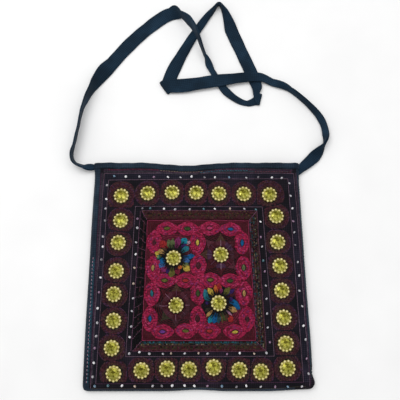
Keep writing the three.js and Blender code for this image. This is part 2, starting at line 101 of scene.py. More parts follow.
# The strap's stations from the left corner to the right one: x, y, lift, width, thickness, tilt and heading
# of its section (None: square to the route)
ROUTE = [
    (-131, 141, 2.3, 7.4, 4.6, 0, 270),
    (-142, 141, 2.3, 7.4, 4.6, 0, 270),
    (-156, 141.5, 0.6, 14, 2.8, 66, 268),
    (-168, 147, 0, 20, 2, 80, 225),
    (-172, 158, 0, 20, 2, 92, 185),
    (-170, 169, 0, 20, 2, 100, 160),
    (-165.5, 194, 0, 20, 2, 98, 172),
    (-160, 226, 0, 20, 2, 97, 160),
    (-148, 255, 0, 20, 2, 78, 144),
    (-122.3, 297, 0, 20, 2, 0, None),
    (-77, 347.5, 0, 20, 2, 0, None),
    (-39, 374.2, 0, 20.8, 2, 0, 117),
    (-25, 366.5, 1.5, 20, 2, 92, 97),
    (-13.8, 356, 3.6, 20, 2, 78, 38),
    (-4.5, 341.5, 4.4, 20, 2, 82, 30),
    (9.5, 304, 0, 14, 2.6, 90, 20),
    (19.5, 283, 0, 8, 4.2, 0, None),
    (40, 251, 0, 11.2, 3.6, 0, None),
    (67, 234.8, 0, 8, 2.1, 0, 85),
    (86.5, 240, 0, 17.5, 2, 0, 78),
    (82.5, 257, 2.3, 15, 2.2, 0, 23),
    (78.5, 271, 0, 17.5, 2.3, 0, None),
    (47.5, 347, 0, 18.5, 2.1, 0, None),
    (36.5, 377.5, 0, 10.8, 3.6, 67, 30),
    (29.6, 387.5, 0, 10.2, 3.8, 107, 90),
    (21, 377.5, 0, 10.4, 3.8, 80, 140),
    (-3, 345.5, 0, 11.6, 3.4, 0, None),
    (-34.5, 288, 0, 18.5, 2.2, 0, None),
    (-49, 257, 0, 22, 2, 0, 124),
    (-19, 260.5, 3.4, 20.3, 2, 0, None),
    (31, 267.5, 4.9, 17.8, 2.3, 0, None),
    (86, 272.5, 4.1, 12.6, 3.1, 0, None),
    (104, 265.5, 1.2, 11, 3.6, 0, None),
    (129.5, 253, 0, 10.4, 3.8, 87, 60),
    (168.5, 211.5, 0, 10.4, 3.8, 62, 28),
    (175, 187.5, 0, 10.4, 3.8, 48, 5),
    (172.5, 174, 0, 10.4, 3.8, 95, 325),
    (158, 156, 0.6, 16.6, 2.4, 180, None),
    (139.5, 140, 2.3, 12.4, 3, 180, None),
    (127, 131, 2.3, 12, 3, 180, None),
]
# Stations where it folds back over itself
FOLDS = [(86.5, 240), (-49, 257)]

FAR = 1e9
TINY = 1e-9


# Camera, floor and light
def link(obj):
    bpy.context.scene.collection.objects.link(obj)
    return obj


def make_camera():
    data = bpy.data.cameras.new("camera")
    data.lens = CAMERA.lens
    data.sensor_width = CAMERA.sensor
    camera = link(bpy.data.objects.new("camera", data))
    tilt = math.radians(CAMERA.tilt)
    x, y = CAMERA.target
    away = CAMERA.distance
    camera.location = (x * MM, (y - away * math.sin(tilt)) * MM, away * math.cos(tilt) * MM)
    camera.rotation_euler = (tilt, 0, 0)
    bpy.context.scene.camera = camera


def make_light(name, place, size, power):
    """A square softbox that shines on the bag."""
    data = bpy.data.lights.new(name, "AREA")
    data.size = size
    data.energy = power
    lamp = link(bpy.data.objects.new(name, data))
    lamp.location = place
    lamp.rotation_mode = "QUATERNION"
    lamp.rotation_quaternion = Vector(np.array(SOFTBOX_AIM) - np.array(place)).to_track_quat("-Z", "Y")


def make_stage():
    """White floor and even studio light."""
    side = FLOOR.side
    corners = [(-side, -side, 0), (side, -side, 0), (side, side, 0), (-side, side, 0)]
    mesh = bpy.data.meshes.new("floor")
    mesh.from_pydata(corners, [], [(0, 1, 2, 3)])
    floor = link(bpy.data.objects.new("floor", mesh))
    floor.location.z = -FLOOR.drop
    floor.data.materials.append(paper_material())
    world = bpy.data.worlds.new("studio")
    world.use_nodes = True
    background = world.node_tree.nodes["Background"].inputs
    background["Color"].default_value = (1, 1, 1, 1)
    background["Strength"].default_value = WORLD_LIGHT
    bpy.context.scene.world = world
    bpy.context.scene.view_settings.view_transform = "Standard"
    for name, facts in SOFTBOXES.items():
        make_light(name, *facts)


# Colours, as they show in daylight
def rgb(colour):
    """A colour given in 0 to 255 as Blender's linear one."""
    out = []
    for value in colour:
        share = value / 255
        out.append(share / 12.92 if share <= 0.04045 else ((share + 0.055) / 1.055) ** 2.4)
    return (*out, 1)


def shade(colour, share):
    """A colour made darker, or lighter above 1."""
    return (*(min(1, c * share) for c in colour[:3]), 1)


def paler(colour, share):
    """A colour mixed with white."""
    return (*(c + (1 - c) * share for c in colour[:3]), 1)


# Materials
class Nodes:
    """A new material's nodes, with short calls to add and join them."""

    def __init__(self, name):
        self.material = bpy.data.materials.new(name)
        self.material.use_nodes = True
        self.tree = self.material.node_tree
        self.shader = self.tree.nodes["Principled BSDF"]

    def add(self, kind, **values):
        node = self.tree.nodes.new(kind)
        for key, value in values.items():
            socket = node.inputs.get(key.replace("_", " "))
            if socket is not None:
                socket.default_value = value
            else:
                setattr(node, key, value)
        return node

    def join(self, output, socket):
        self.tree.links.new(output, socket)

    def colour(self, factor, *stops):
        """The base colour, from stops along a factor."""
        node = self.add("ShaderNodeValToRGB")
        points = node.color_ramp.elements
        while len(points) < len(stops):
            points.new(0.5)
        for point, (at, colour) in zip(points, stops):
            point.position = at
            point.color = colour
        self.join(factor, node.inputs["Fac"])
        self.join(node.outputs["Color"], self.shader.inputs["Base Color"])

    def math(self, operation, first, second):
        node = self.add("ShaderNodeMath", operation=operation)
        for socket, value in zip(node.inputs, (first, second)):
            if isinstance(value, (int, float)):
                socket.default_value = value
            else:
                self.join(value, socket)
        return node.outputs[0]

    def blend(self, first, second, share):
        """The first value's share, and the rest of the second one."""
        return self.math("ADD", self.math("MULTIPLY", first, share), self.math("MULTIPLY", second, 1 - share))

    def place(self, uv=False):
        node = self.add("ShaderNodeTexCoord")
        return node.outputs["UV" if uv else "Object"]

    def noise(self, scale, detail, roughness=0.55):
        node = self.add("ShaderNodeTexNoise", Scale=scale, Detail=detail, Roughness=roughness)
        self.join(self.place(), node.inputs["Vector"])
        return node.outputs["Fac"]

    def wave(self, place, scale, direction, distortion):
        node = self.add("ShaderNodeTexWave", Scale=scale, Distortion=distortion, bands_direction=direction)
        self.join(place, node.inputs["Vector"])
        return node.outputs["Fac"]

    def bump(self, height, strength, distance):
        node = self.add("ShaderNodeBump", Strength=strength, Distance=distance)
        self.join(height, node.inputs["Height"])
        self.join(node.outputs["Normal"], self.shader.inputs["Normal"])

    def set(self, **values):
        for key, value in values.items():
            self.shader.inputs[key.replace("_", " ")].default_value = value


def paper_material():
    nodes = Nodes("floor_paper")
    grain = nodes.noise(scale=12, detail=2)
    nodes.colour(grain, (0.3, rgb((243, 243, 243))), (0.7, rgb((247, 247, 247))))
    nodes.set(Roughness=0.9, Specular_IOR_Level=0.1)
    return nodes.material


def cloth_material(name, colour, worn, threads=1600, uv=False, sheen=0.02, rough=(0.66, 0.86)):
    """Plain woven cotton: warp and weft as bump, colour that varies in patches, and a soft sheen.
    threads is the count of threads in a metre of the coordinates."""
    nodes = Nodes(name)
    turn = threads / (2 * math.pi) * 0.5
    warp, weft = (nodes.wave(nodes.place(uv), turn, way, distortion=0.8) for way in "XY")
    weave = nodes.blend(warp, weft, 0.5)
    patches = nodes.noise(scale=28, detail=4, roughness=0.6)
    slubs = nodes.noise(scale=650, detail=2)
    tone = nodes.blend(patches, weave, 0.75)
    nodes.colour(tone, (0.25, shade(colour, 0.45)), (0.5, colour), (0.75, worn))
    nodes.bump(nodes.math("ADD", weave, nodes.math("MULTIPLY", slubs, 0.7)), strength=0.6, distance=0.0004)
    spread = nodes.add("ShaderNodeMapRange", To_Min=rough[0], To_Max=rough[1])
    nodes.join(patches, spread.inputs["Value"])
    nodes.join(spread.outputs["Result"], nodes.shader.inputs["Roughness"])
    nodes.set(Sheen_Weight=sheen, Sheen_Roughness=0.4, Specular_IOR_Level=0.09)
    return nodes.material


def thread_material(name, colour):
    """Twisted embroidery thread: fine bright and dark fibres, and a silky gloss."""
    nodes = Nodes(name)
    fibres = nodes.noise(scale=1400, detail=3, roughness=0.7)
    tone = nodes.blend(fibres, nodes.noise(scale=430, detail=2), 0.5)
    light = paler(shade(colour, 1.5), 0.008)
    nodes.colour(tone, (0.36, shade(colour, 0.4)), (0.5, colour), (0.66, light))
    nodes.bump(fibres, strength=0.6, distance=0.0003)
    nodes.set(Roughness=0.495, Sheen_Weight=0.015, Sheen_Roughness=0.35, Specular_IOR_Level=0.1)
    return nodes.material


def setting_material(name, dark, middle, light):
    """Moulded flower with a worn gilt and pearl finish."""
    nodes = Nodes(name)
    nodes.colour(nodes.noise(scale=420, detail=3), (0.3, dark), (0.5, middle), (0.7, light))
    nodes.bump(nodes.noise(scale=900, detail=2), strength=0.25, distance=0.0003)
    nodes.set(Roughness=0.3, Metallic=0.2, Specular_IOR_Level=0.35)
    return nodes.material


def stone_material(name, colour):
    """A facet of a foil-backed stone, with a clear glassy surface, in a dark, mid or light colour that paints
    the facet's reflection.
    """
    nodes = Nodes(name)
    tone = nodes.noise(scale=260, detail=2)
    nodes.colour(tone, (0.3, shade(colour, 0.6)), (0.55, colour), (0.75, shade(colour, 1.4)))
    nodes.bump(nodes.noise(scale=320, detail=1), strength=0.06, distance=0.0003)
    nodes.set(Roughness=0.26, Metallic=0.6, Specular_IOR_Level=0.12, Coat_Weight=0.04, Coat_Roughness=0.04)
    return nodes.material


def bead_material(name, colour):
    """Small glass beads with a milky core."""
    nodes = Nodes(name)
    nodes.colour(nodes.noise(scale=420, detail=2), (0.3, shade(colour, 0.8)), (0.7, colour))
    nodes.bump(nodes.noise(scale=1500, detail=1), strength=0.1, distance=0.0002)
    nodes.set(Roughness=0.16, Coat_Weight=0.6, Coat_Roughness=0.05)
    return nodes.material


# Cloths, in their own colour and where they are worn, and what sets a cloth apart from the others
CLOTHS = {
    "navy": ((22, 34, 47), (44, 62, 80)), "ground": ((16, 15, 21), (40, 32, 44)),
    "band": ((22, 22, 32), (51, 45, 61)), "panel": ((66, 16, 28), (90, 26, 42)),
    "strip_brown": ((48, 32, 30), (66, 46, 38)), "strip_dark": ((34, 30, 32), (64, 54, 40)),
    "strip_black": ((26, 22, 28), (48, 34, 44)), "strap": ((18, 36, 51), (34, 57, 77)),
}
CLOTH_FACTS = {"navy": {"sheen": 0.05, "rough": (0.5, 0.72)},
               "strap": {"threads": 1500, "uv": True, "sheen": 0.04}}
# The flower settings from dark to light, the stone's three painted reflection tones, and the beads' glasses by
# their letters
SETTINGS = {
    "plate": ((110, 98, 36), (140, 126, 52), (164, 150, 72)),
    "petal": ((180, 166, 98), (212, 200, 132), (240, 230, 176)),
}
STONE_REFLECTION_TONES = {"dark": (88, 82, 14), "mid": (148, 144, 56), "light": (190, 184, 96)}
GLASSES = {
    "p": ("pearl", (244, 242, 246)), "s": ("silver", (184, 181, 188)), "d": ("smoke", (124, 118, 126)),
    "b": ("sky", (112, 140, 164)), "m": ("lilac", (142, 110, 138)), "t": ("sand", (184, 164, 150)),
    "j": ("sea", (74, 114, 126)),
}
THREADS = {
    "plum": (58, 28, 36), "wine": (74, 34, 44), "raisin": (68, 44, 44), "grape": (66, 38, 62),
    "dusk": (98, 76, 92), "ash": (58, 52, 62), "putty": (110, 98, 80), "garnet": (62, 13, 22),
    "mauve": (98, 62, 84), "maroon": (60, 18, 28), "magenta": (142, 27, 63), "cerise": (102, 20, 44),
    "pink": (160, 50, 90), "blush": (128, 46, 74), "pale": (164, 132, 148), "olive": (84, 82, 34),
    "tan": (150, 116, 70), "sage": (78, 88, 56), "lilac": (140, 98, 120), "orchid": (112, 34, 80),
    "violet": (42, 20, 76), "steel": (50, 84, 132), "cyan": (18, 112, 132), "jade": (34, 110, 90),
    "brown": (66, 42, 32), "teal": (28, 96, 110), "blue": (6, 76, 122), "midnight": (20, 32, 46),
    "green": (48, 64, 28), "red": (138, 34, 36), "orange": (168, 86, 36), "yellow": (164, 142, 58),
    "purple": (88, 44, 112), "black": (10, 8, 11), "moss": (50, 45, 32), "ochre": (80, 62, 36),
    "slate": (30, 58, 66),
}
materials = {}


def make_materials():
    for name, colours in CLOTHS.items():
        materials[name] = cloth_material(f"{name}_cotton", *map(rgb, colours), **CLOTH_FACTS.get(name, {}))
    for name, colours in SETTINGS.items():
        materials[name] = setting_material(f"gem_{name}", *map(rgb, colours))
    # Dark, mid and light copies of the stone's material, whose colours paint its facets' reflections
    for name, colour in STONE_REFLECTION_TONES.items():
        materials[f"stone_{name}"] = stone_material(f"gem_stone_{name}", rgb(colour))
    for letter, (name, colour) in GLASSES.items():
        materials[f"glass_{letter}"] = bead_material(f"bead_{name}", rgb(colour))


def thread(name, tone=1.0):
    """A thread's material, lighter or darker by tone."""
    key = f"thread_{name}" if tone == 1 else f"thread_{name}_{tone}"
    if key not in materials:
        materials[key] = thread_material(key, shade(rgb(THREADS[name]), tone))
    return materials[key]


# The soft surface of the front
def drawn_in(dips, at):
    """How far an edge is drawn in at places along it."""
    total = np.zeros(np.shape(at))
    for place, reach, depth in dips:
        share = np.minimum(np.abs(np.asarray(at) - place) / reach, 1)
        total = total + depth * (0.5 + 0.5 * np.cos(np.pi * share))
    return total


def side_edge(at_bottom, at_mouth, y):
    return at_bottom + (at_mouth - at_bottom) * (y - BOTTOM) / (MOUTH - BOTTOM)


def left_edge(y):
    return side_edge(BOTTOM_LEFT, MOUTH_LEFT, y)


def right_edge(y):
    return side_edge(BOTTOM_RIGHT, MOUTH_RIGHT, y)


def smooth(value, low, high):
    t = np.clip((value - low) / (high - low), 0, 1)
    return t * t * (3 - 2 * t)


def front_top(x, y):
    """Height of the front's outer face, away from its turned edges."""
    rise = np.maximum(1 - (x / BOTTOM_RIGHT) ** 2, 0) * np.maximum(1 - (y / MOUTH) ** 4, 0)
    z = SHOULDER + CROWN * rise
    for dent_x, dent_y, reach_x, reach_y, depth in DENTS:
        z = z - depth * np.exp(-(((x - dent_x) / reach_x) ** 2) - ((y - dent_y) / reach_y) ** 2)
    return z


# Relief: what the stitching and the padding add to that height, on a square grid of points
RELIEF = Facts(step=4.0, low=-148.0, count=75, most=1.1)
relief_grid = np.zeros((RELIEF.count, RELIEF.count))
# The turned edges are cut off just short of upright. Slopes are measured over this reach
EDGE_STEEP, SLOPE_REACH = 0.98, 0.5


def relief(x, y):
    """The relief at places on the front, between the grid's points."""
    i, j = (np.clip((at - RELIEF.low) / RELIEF.step, 0, RELIEF.count - 1.001) for at in (x, y))
    i0, j0 = i.astype(int), j.astype(int)
    u, v = i - i0, j - j0
    low = relief_grid[j0, i0] * (1 - u) + relief_grid[j0, i0 + 1] * u
    high = relief_grid[j0 + 1, i0] * (1 - u) + relief_grid[j0 + 1, i0 + 1] * u
    return low * (1 - v) + high * v


def surface(x, y):
    """Height of the front at places in plan, with its turned edges."""
    x, y = np.asarray(x, float), np.asarray(y, float)
    aside = np.maximum(left_edge(y) + ROLL - x, x - right_edge(y) + ROLL)
    below = BOTTOM + drawn_in(BOTTOM_DIPS, x) + ROLL - y
    turned = np.hypot(np.maximum(aside, 0), np.maximum(below, 0)) / ROLL
    share = np.sqrt(1 - np.minimum(turned, EDGE_STEEP) ** 2)
    return SEAM + (front_top(x, y) + relief(x, y) - SEAM) * share


def normals_at(x, y):
    """Directions out of the front at places in plan."""
    h = SLOPE_REACH
    dx = (surface(x + h, y) - surface(x - h, y)) / (2 * h)
    dy = (surface(x, y + h) - surface(x, y - h)) / (2 * h)
    n = np.stack([-dx, -dy, np.ones_like(dx)], axis=-1)
    return n / np.linalg.norm(n, axis=-1, keepdims=True)


def gem_places():
    """Name, x, y and turn of each gem, as in the part's source."""
    places = []
    for row, facts in GEM_ROWS.items():
        start, end = np.array(facts["from"]), np.array(facts["to"])
        step = (end - start) / (len(facts["along"]) - 1)
        ahead = step / np.linalg.norm(step)
        aside = np.array((0, 1) if abs(ahead[0]) > abs(ahead[1]) else (1, 0))
        for k, (drift, off) in enumerate(zip(facts["along"], facts["aside"])):
            x, y = start + step * k + ahead * drift + aside * off
            places.append((f"{row}_{k + 1}", x, y, k * GEM_TURN))
    for k, (x, y) in enumerate(CENTRE_GEMS):
        places.append((f"centre_{k + 1}", x, y, k * GEM_TURN))
    return places


GEMS = gem_places()
BORDER_GEMS = [(x, y) for name, x, y, _ in GEMS if not name.startswith("centre")]


# Quadrilaterals
def sides(corners):
    """The sides, each as its two ends."""
    return list(zip(corners, corners[1:] + corners[:1]))


def edge_distance(x, y, corners):
    """Distance from places to the nearest of the four sides."""
    best = np.full(np.shape(x), FAR)
    for (ax, ay), (bx, by) in sides(corners):
        dx, dy = bx - ax, by - ay
        t = np.clip(((x - ax) * dx + (y - ay) * dy) / (dx * dx + dy * dy), 0, 1)
        best = np.minimum(best, np.hypot(x - ax - t * dx, y - ay - t * dy))
    return best


def inside_quad(x, y, corners):
    """Whether places are inside, where the corners run clockwise."""
    inside = np.ones(np.shape(x), bool)
    for (ax, ay), (bx, by) in sides(corners):
        inside &= (bx - ax) * (y - ay) - (by - ay) * (x - ax) <= 0
    return inside


def inset(corners, by):
    """A quadrilateral drawn in by a distance on all sides."""
    out = []
    for k in range(4):
        here = np.array(corners[k], float)
        ahead = np.array(corners[(k + 1) % 4]) - here
        back = np.array(corners[k - 1]) - here
        ahead, back = ahead / np.linalg.norm(ahead), back / np.linalg.norm(back)
        out.append(tuple(here + by * (ahead + back)))
    return out


# The padding's simulation. It is held at the grid's edge, near sewn lines (in grid steps) and under the gems
PADDING = {"quality": 6, "mass": 0.15, "bending_stiffness": 0.3, "vertex_group_mass": "sewn",
           "shrink_min": -0.03, "use_pressure": True, "uniform_pressure_force": 1.5}
PADDING_STEPS, SEWN_SHARE, GEM_HOLD = 30, 0.55, 4


def simulate_relief():
    """Cloth simulation of the padded front, which swells between where it is held."""
    places = RELIEF.low + RELIEF.step * np.arange(RELIEF.count)
    x, y = np.meshgrid(places, places)
    base = front_top(x, y)
    held = np.ones(x.shape, bool)
    held[2:-2, 2:-2] = False
    for corners in (PATCH, INNER_LINE, BAND_INNER):
        held |= edge_distance(x, y, corners) < SEWN_SHARE * RELIEF.step
    for _, gem_x, gem_y, _ in GEMS:
        held |= np.hypot(x - gem_x, y - gem_y) < GEM_HOLD
    points = np.stack([x, y, base], axis=-1).reshape(-1, 3) * MM
    mesh = bpy.data.meshes.new("padding")
    mesh.from_pydata(points.tolist(), [], grid_faces(RELIEF.count, RELIEF.count).tolist())
    padding = link(bpy.data.objects.new("padding", mesh))
    group = padding.vertex_groups.new(name="sewn")
    group.add(np.flatnonzero(held).tolist(), 1.0, "REPLACE")
    cloth = padding.modifiers.new("cloth", "CLOTH")
    for name, value in PADDING.items():
        setattr(cloth.settings, name, value)
    cloth.settings.effector_weights.gravity = 0
    cloth.collision_settings.use_collision = False
    scene = bpy.context.scene
    for step in range(PADDING_STEPS):
        scene.frame_set(step + 1)
    done = padding.evaluated_get(bpy.context.evaluated_depsgraph_get())
    after = np.empty(len(points) * 3, np.float32)
    done.data.vertices.foreach_get("co", after)
    scene.frame_set(1)
    bpy.data.objects.remove(padding)
    swell = after.reshape(*x.shape, 3)[..., 2] / MM - base
    return np.clip(np.nan_to_num(swell), -RELIEF.most, RELIEF.most)


# Meshes
def grid_faces(columns, rows, start=0, flip=False):
    i, j = np.meshgrid(np.arange(columns - 1), np.arange(rows - 1))
    a = start + (j * columns + i).ravel()
    quads = np.stack([a, a + 1, a + 1 + columns, a + columns], axis=1)
    return quads[:, ::-1] if flip else quads


class Batch:
    """Points and faces gathered for one joined mesh, each face with its material."""

    def __init__(self):
        self.points, self.faces, self.slots, self.soft, self.materials, self.uvs = [], [], [], [], [], []
        self.start = self.count = 0

    def add(self, points, faces, material, uv=None, flat=False, shared=False):
        """Adds faces on new points, or on the points added last where they are shared."""
        points = np.asarray(points, float).reshape(-1, 3)
        if material not in self.materials:
            self.materials.append(material)
        slot = self.materials.index(material)
        if not shared:
            self.start = self.count
            self.points.append(points)
            self.uvs.append(np.zeros((len(points), 2)) if uv is None else uv)
            self.count += len(points)
        self.faces.extend((np.asarray(f) + self.start).tolist() for f in faces)
        self.slots.extend([slot] * len(faces))
        self.soft.extend([not flat] * len(faces))

    def build(self, name):
        """The joined mesh as a piece of the bag."""
        mesh = bpy.data.meshes.new(name)
        points = np.concatenate(self.points) * MM
        mesh.from_pydata(points.tolist(), [], self.faces)
        for material in self.materials:
            mesh.materials.append(material)
        mesh.polygons.foreach_set("material_index", self.slots)
        mesh.polygons.foreach_set("use_smooth", self.soft)
        loops = np.empty(len(mesh.loops), np.int32)
        mesh.loops.foreach_get("vertex_index", loops)
        layer = mesh.uv_layers.new(name="UVMap")
        layer.data.foreach_set("uv", (np.concatenate(self.uvs) * MM)[loops].ravel())
        shell = bmesh.new()
        shell.from_mesh(mesh)
        bmesh.ops.recalc_face_normals(shell, faces=shell.faces)
        shell.to_mesh(mesh)
        shell.free()
        piece = link(bpy.data.objects.new(name, mesh))
        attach(piece, "root")
        return piece


def wall(upper, lower):
    """Faces of a cloth wall from the points of its two faces, each rows by columns, closed by a rim."""
    rows, columns = upper.shape[:2]
    size = rows * columns
    points = np.concatenate([upper.reshape(-1, 3), lower.reshape(-1, 3)])
    faces = [*grid_faces(columns, rows), *grid_faces(columns, rows, size, True)]
    index = np.arange(size).reshape(rows, columns)
    rim = np.concatenate([index[0, :-1], index[:-1, -1], index[-1, :0:-1], index[:0:-1, 0]])
    after = np.roll(rim, -1)
    faces += list(np.stack([rim, rim + size, after + size, after], axis=1))
    return points, faces


def loft(rings):
    """Faces round rings of points, shape rings by count by 3, with both ends closed."""
    rings = np.asarray(rings)
    number, count = rings.shape[:2]
    faces = []
    k = np.arange(count)
    after = (k + 1) % count
    for r in range(number - 1):
        low, high = r * count, (r + 1) * count
        faces.extend(np.stack([low + k, low + after, high + after, high + k], axis=1))
    faces.append(k[::-1])
    faces.append((number - 1) * count + k)
    return rings.reshape(-1, 3), faces


def ellipse(x, y, half_x, half_y, count, power=2.0):
    """Points round an ellipse. A power below 2 gives it blunt points."""
    angles = np.arange(count) * 2 * np.pi / count
    c, d = np.cos(angles), np.sin(angles)
    c, d = np.sign(c) * np.abs(c) ** (2 / power), np.sign(d) * np.abs(d) ** (2 / power)
    return np.column_stack([x + half_x * c, y + half_y * d])


# A thread lies on the surface with a rounded back and a flat belly
THREAD_OUTLINE = np.array([(-1, -0.15), (-0.75, 0.68), (0, 1), (0.75, 0.68), (1, -0.15)])


def on_front(xy, lift=0.0):
    """Points on the embroidered front, and the direction out of it, for places in plan."""
    x, y = np.asarray(xy, float).T
    out = normals_at(x, y)
    return np.column_stack([x, y, surface(x, y)]) + out * np.reshape(lift, (-1, 1)), out


def tube(batch, points, out, radius, material, closed=False):
    """A thread along points, with out the direction away from the cloth at each, and its radius there."""
    points, out = np.asarray(points, float), np.asarray(out, float)
    if closed:
        ahead = np.roll(points, -1, 0) - np.roll(points, 1, 0)
    else:
        ahead = np.gradient(points, axis=0)
    ahead /= np.maximum(np.linalg.norm(ahead, axis=1, keepdims=True), TINY)
    side = np.cross(ahead, out)
    side /= np.maximum(np.linalg.norm(side, axis=1, keepdims=True), TINY)
    radius = np.broadcast_to(np.asarray(radius, float), (len(points),))[:, None]
    rings = np.stack([points + radius * (a * side + b * out) for a, b in THREAD_OUTLINE], axis=1)
    if not closed:
        batch.add(*loft(rings), material)
        return
    solid, faces = loft(np.concatenate([rings, rings[:1]]))
    count = len(THREAD_OUTLINE)
    total = len(rings) * count
    batch.add(solid[:total], [np.asarray(f) % total for f in faces[:-2]], material)


def lay(batch, xy, lift, radius, material, closed=False):
    """A thread on the front along places in plan, lifted off the cloth."""
    tube(batch, *on_front(xy, lift), radius, material, closed)


def plump(length, stitch, spread=0.3):
    """Thickness along a line of stitches: full in the middle of each and thin where the needle went in."""
    return 1 - spread + spread * np.abs(np.sin(np.pi * length / stitch))


# A chain stitch has this many steps, with its thickness at each point
STITCH_STEPS = 3
STITCH_SHAPE = np.array((0.6, 1.0, 1.0, 0.6))


def stitches(batch, points, out, radius, colours, scatter, closed=False):
    """Separate stitches along points laid on the cloth, each in a colour drawn from the thread's shades."""
    if closed:
        points, out, radius = (np.concatenate([a, a[:1]]) for a in (points, out, radius))
    for start in range(0, len(points) - STITCH_STEPS, STITCH_STEPS):
        part = slice(start, start + STITCH_STEPS + 1)
        tube(batch, points[part], out[part], radius[part] * STITCH_SHAPE, thread(scatter.choice(colours)))


def resample(path, step, closed=False):
    """A path's points at even steps."""
    path = np.asarray(path, float)
    if closed:
        path = np.concatenate([path, path[:1]])
    lengths = np.concatenate([[0], np.cumsum(np.linalg.norm(np.diff(path, axis=0), axis=1))])
    count = max(int(round(lengths[-1] / step)), 2)
    at = np.linspace(0, lengths[-1], count + 1)
    if closed:
        at = at[:-1]
    return np.column_stack([np.interp(at, lengths, path[:, k]) for k in range(path.shape[1])]), at


def chain_line(batch, path, radius, material, stitch, lift=0.0):
    """A line of chain stitch along a path in plan."""
    path, at = resample(path, stitch / STITCH_STEPS)
    lay(batch, path, lift, radius * plump(at, stitch), material)


def shaded_line(batch, path, radius, colours, scatter, stitch, lift):
    """A line of chain stitch in a shaded thread along a path in plan."""
    path, _ = resample(path, stitch / STITCH_STEPS)
    stitches(batch, *on_front(path, lift), np.full(len(path), radius), colours, scatter)


# A running stitch goes in at both ends: its height along it, in radii. Its path is read at this step
RUN_HEIGHT = np.array((-0.5, 0.3, 0.3, -0.5))
RUN_STEP = 0.4


def running_line(batch, path, radius, material, stitch, gap, lift=0.0):
    """Separate short stitches along a path in plan."""
    path, at = resample(path, RUN_STEP)
    start = 0.0
    while start + stitch <= at[-1]:
        part = np.linspace(start, start + stitch, len(RUN_HEIGHT))
        xy = np.column_stack([np.interp(part, at, path[:, c]) for c in (0, 1)])
        lay(batch, xy, lift + radius * RUN_HEIGHT, radius, material)
        start += stitch + gap


# The strap. These columns of a station turn its section
TILT, HEADING, TURNED = 5, 6, 7
# Its width, the layer and crease of a fold, its steps in length and in degrees of turn, its least height, and
# where it leaves the bag
STRAP = Facts(wide=20, layer=2.3, crease=3, step=2.6, twist=5.0, fold_twist=20.0, low=0.02,
              exit=(MOUTH_LEFT, 141, 4.6))
# Its section: where it is doubled, from the thickness single on, a slit opens in its edge
TAPE = Facts(round=13, blunt=8, soft=0.3, single=2.3, over=1.2, open=0.16, edge=0.97, slit=1.2)
# Slack of its edges in waves along it: share, length, start. Creases: height, length, lean across, start
STRAP_SLACK = ((0.018, 9.0, 0), (0.012, 4.1, 1))
STRAP_CREASES = ((0.132, 7.3, 1.7, 0), (0.096, 3.1, -2.3, 0.8), (0.072, 15.0, 3, 0))


def strap_middle(lift, wide, thick, tilt):
    lean = math.radians(tilt)
    return lift + (wide * abs(math.sin(lean)) + thick * abs(math.cos(lean))) / 2


def strap_stations():
    """The route with each fold opened into its lower layer, its crease and its upper layer."""
    stations, turned = [], 0
    for x, y, lift, *section, heading in ROUTE:
        if (x, y) not in FOLDS:
            stations.append([x, y, lift, *section, heading, turned])
            continue
        inward = math.radians(heading + (-90 if turned else 90))
        near_x, near_y = x + STRAP.crease * math.cos(inward), y + STRAP.crease * math.sin(inward)
        stations.append([near_x, near_y, lift, *section, heading, turned])
        stations.append([x, y, lift + STRAP.layer / 2, *section, heading, 90])
        turned = 180 - turned
        stations.append([near_x, near_y, lift + STRAP.layer, *section, heading, turned])
    for k, station in enumerate(stations):
        if station[HEADING] is None:
            before, after = stations[max(k - 1, 0)], stations[min(k + 1, len(stations) - 1)]
            route = math.degrees(math.atan2(after[1] - before[1], after[0] - before[0]))
            station[HEADING] = route + (-90 if station[TURNED] else 90)
        if k:
            station[HEADING] -= 360 * round((station[HEADING] - stations[k - 1][HEADING]) / 360)
    return stations


def through(points, t):
    """A place on the centripetal Catmull-Rom curve between the middle two of four points."""
    knots = [0.0]
    for a, b in zip(points, points[1:]):
        knots.append(knots[-1] + max(np.linalg.norm(b - a), TINY) ** 0.5)
    at = knots[1] + (knots[2] - knots[1]) * t
    for low, high in ((0, 1), (0, 2), (1, 2)):
        ends = [(knots[k + low], knots[k + high]) for k in range(len(points) - 1)]
        points = [((end - at) * a + (at - start) * b) / (end - start)
                  for (start, end), a, b in zip(ends, points, points[1:])]
    return points[0]


def strap_frames():
    """Middle, direction across, direction out, width, thickness and length so far, all along the strap."""
    stations = strap_stations()
    middles = [np.array([s[0], s[1], strap_middle(*s[2:6])]) for s in stations]
    middles = [2 * middles[0] - middles[1], *middles, 2 * middles[-1] - middles[-2]]
    up = np.array([0, 0, 1.0])
    frames, length = [], 0.0
    for k, (a, b) in enumerate(zip(stations, stations[1:])):
        four = middles[k:k + 4]
        gap = np.linalg.norm(four[2] - four[1])
        twist = max(abs(b[TILT] - a[TILT]), abs(b[HEADING] - a[HEADING])) / STRAP.twist
        steps = math.ceil(max(gap / STRAP.step, twist, abs(b[TURNED] - a[TURNED]) / STRAP.fold_twist))
        for s in range(0 if k == 0 else 1, steps + 1):
            t = s / steps
            lift, wide, thick, tilt, heading, turned = (a[c] + (b[c] - a[c]) * t for c in range(2, 8))
            middle = through(four, t)
            middle[2] = strap_middle(lift, wide, thick, tilt)
            h, lean, over = (math.radians(v) for v in (heading, tilt, turned))
            plan = np.array([math.cos(h), math.sin(h), 0])
            ahead = np.array([-math.sin(h), math.cos(h), 0])
            across = plan * math.cos(lean) + up * math.sin(lean)
            out = (up * math.cos(lean) - plan * math.sin(lean)) * math.cos(over) + ahead * math.sin(over)
            if frames:
                length += np.linalg.norm(middle - frames[-1][0])
            frames.append((middle, across, out, wide, thick, length))
    return frames


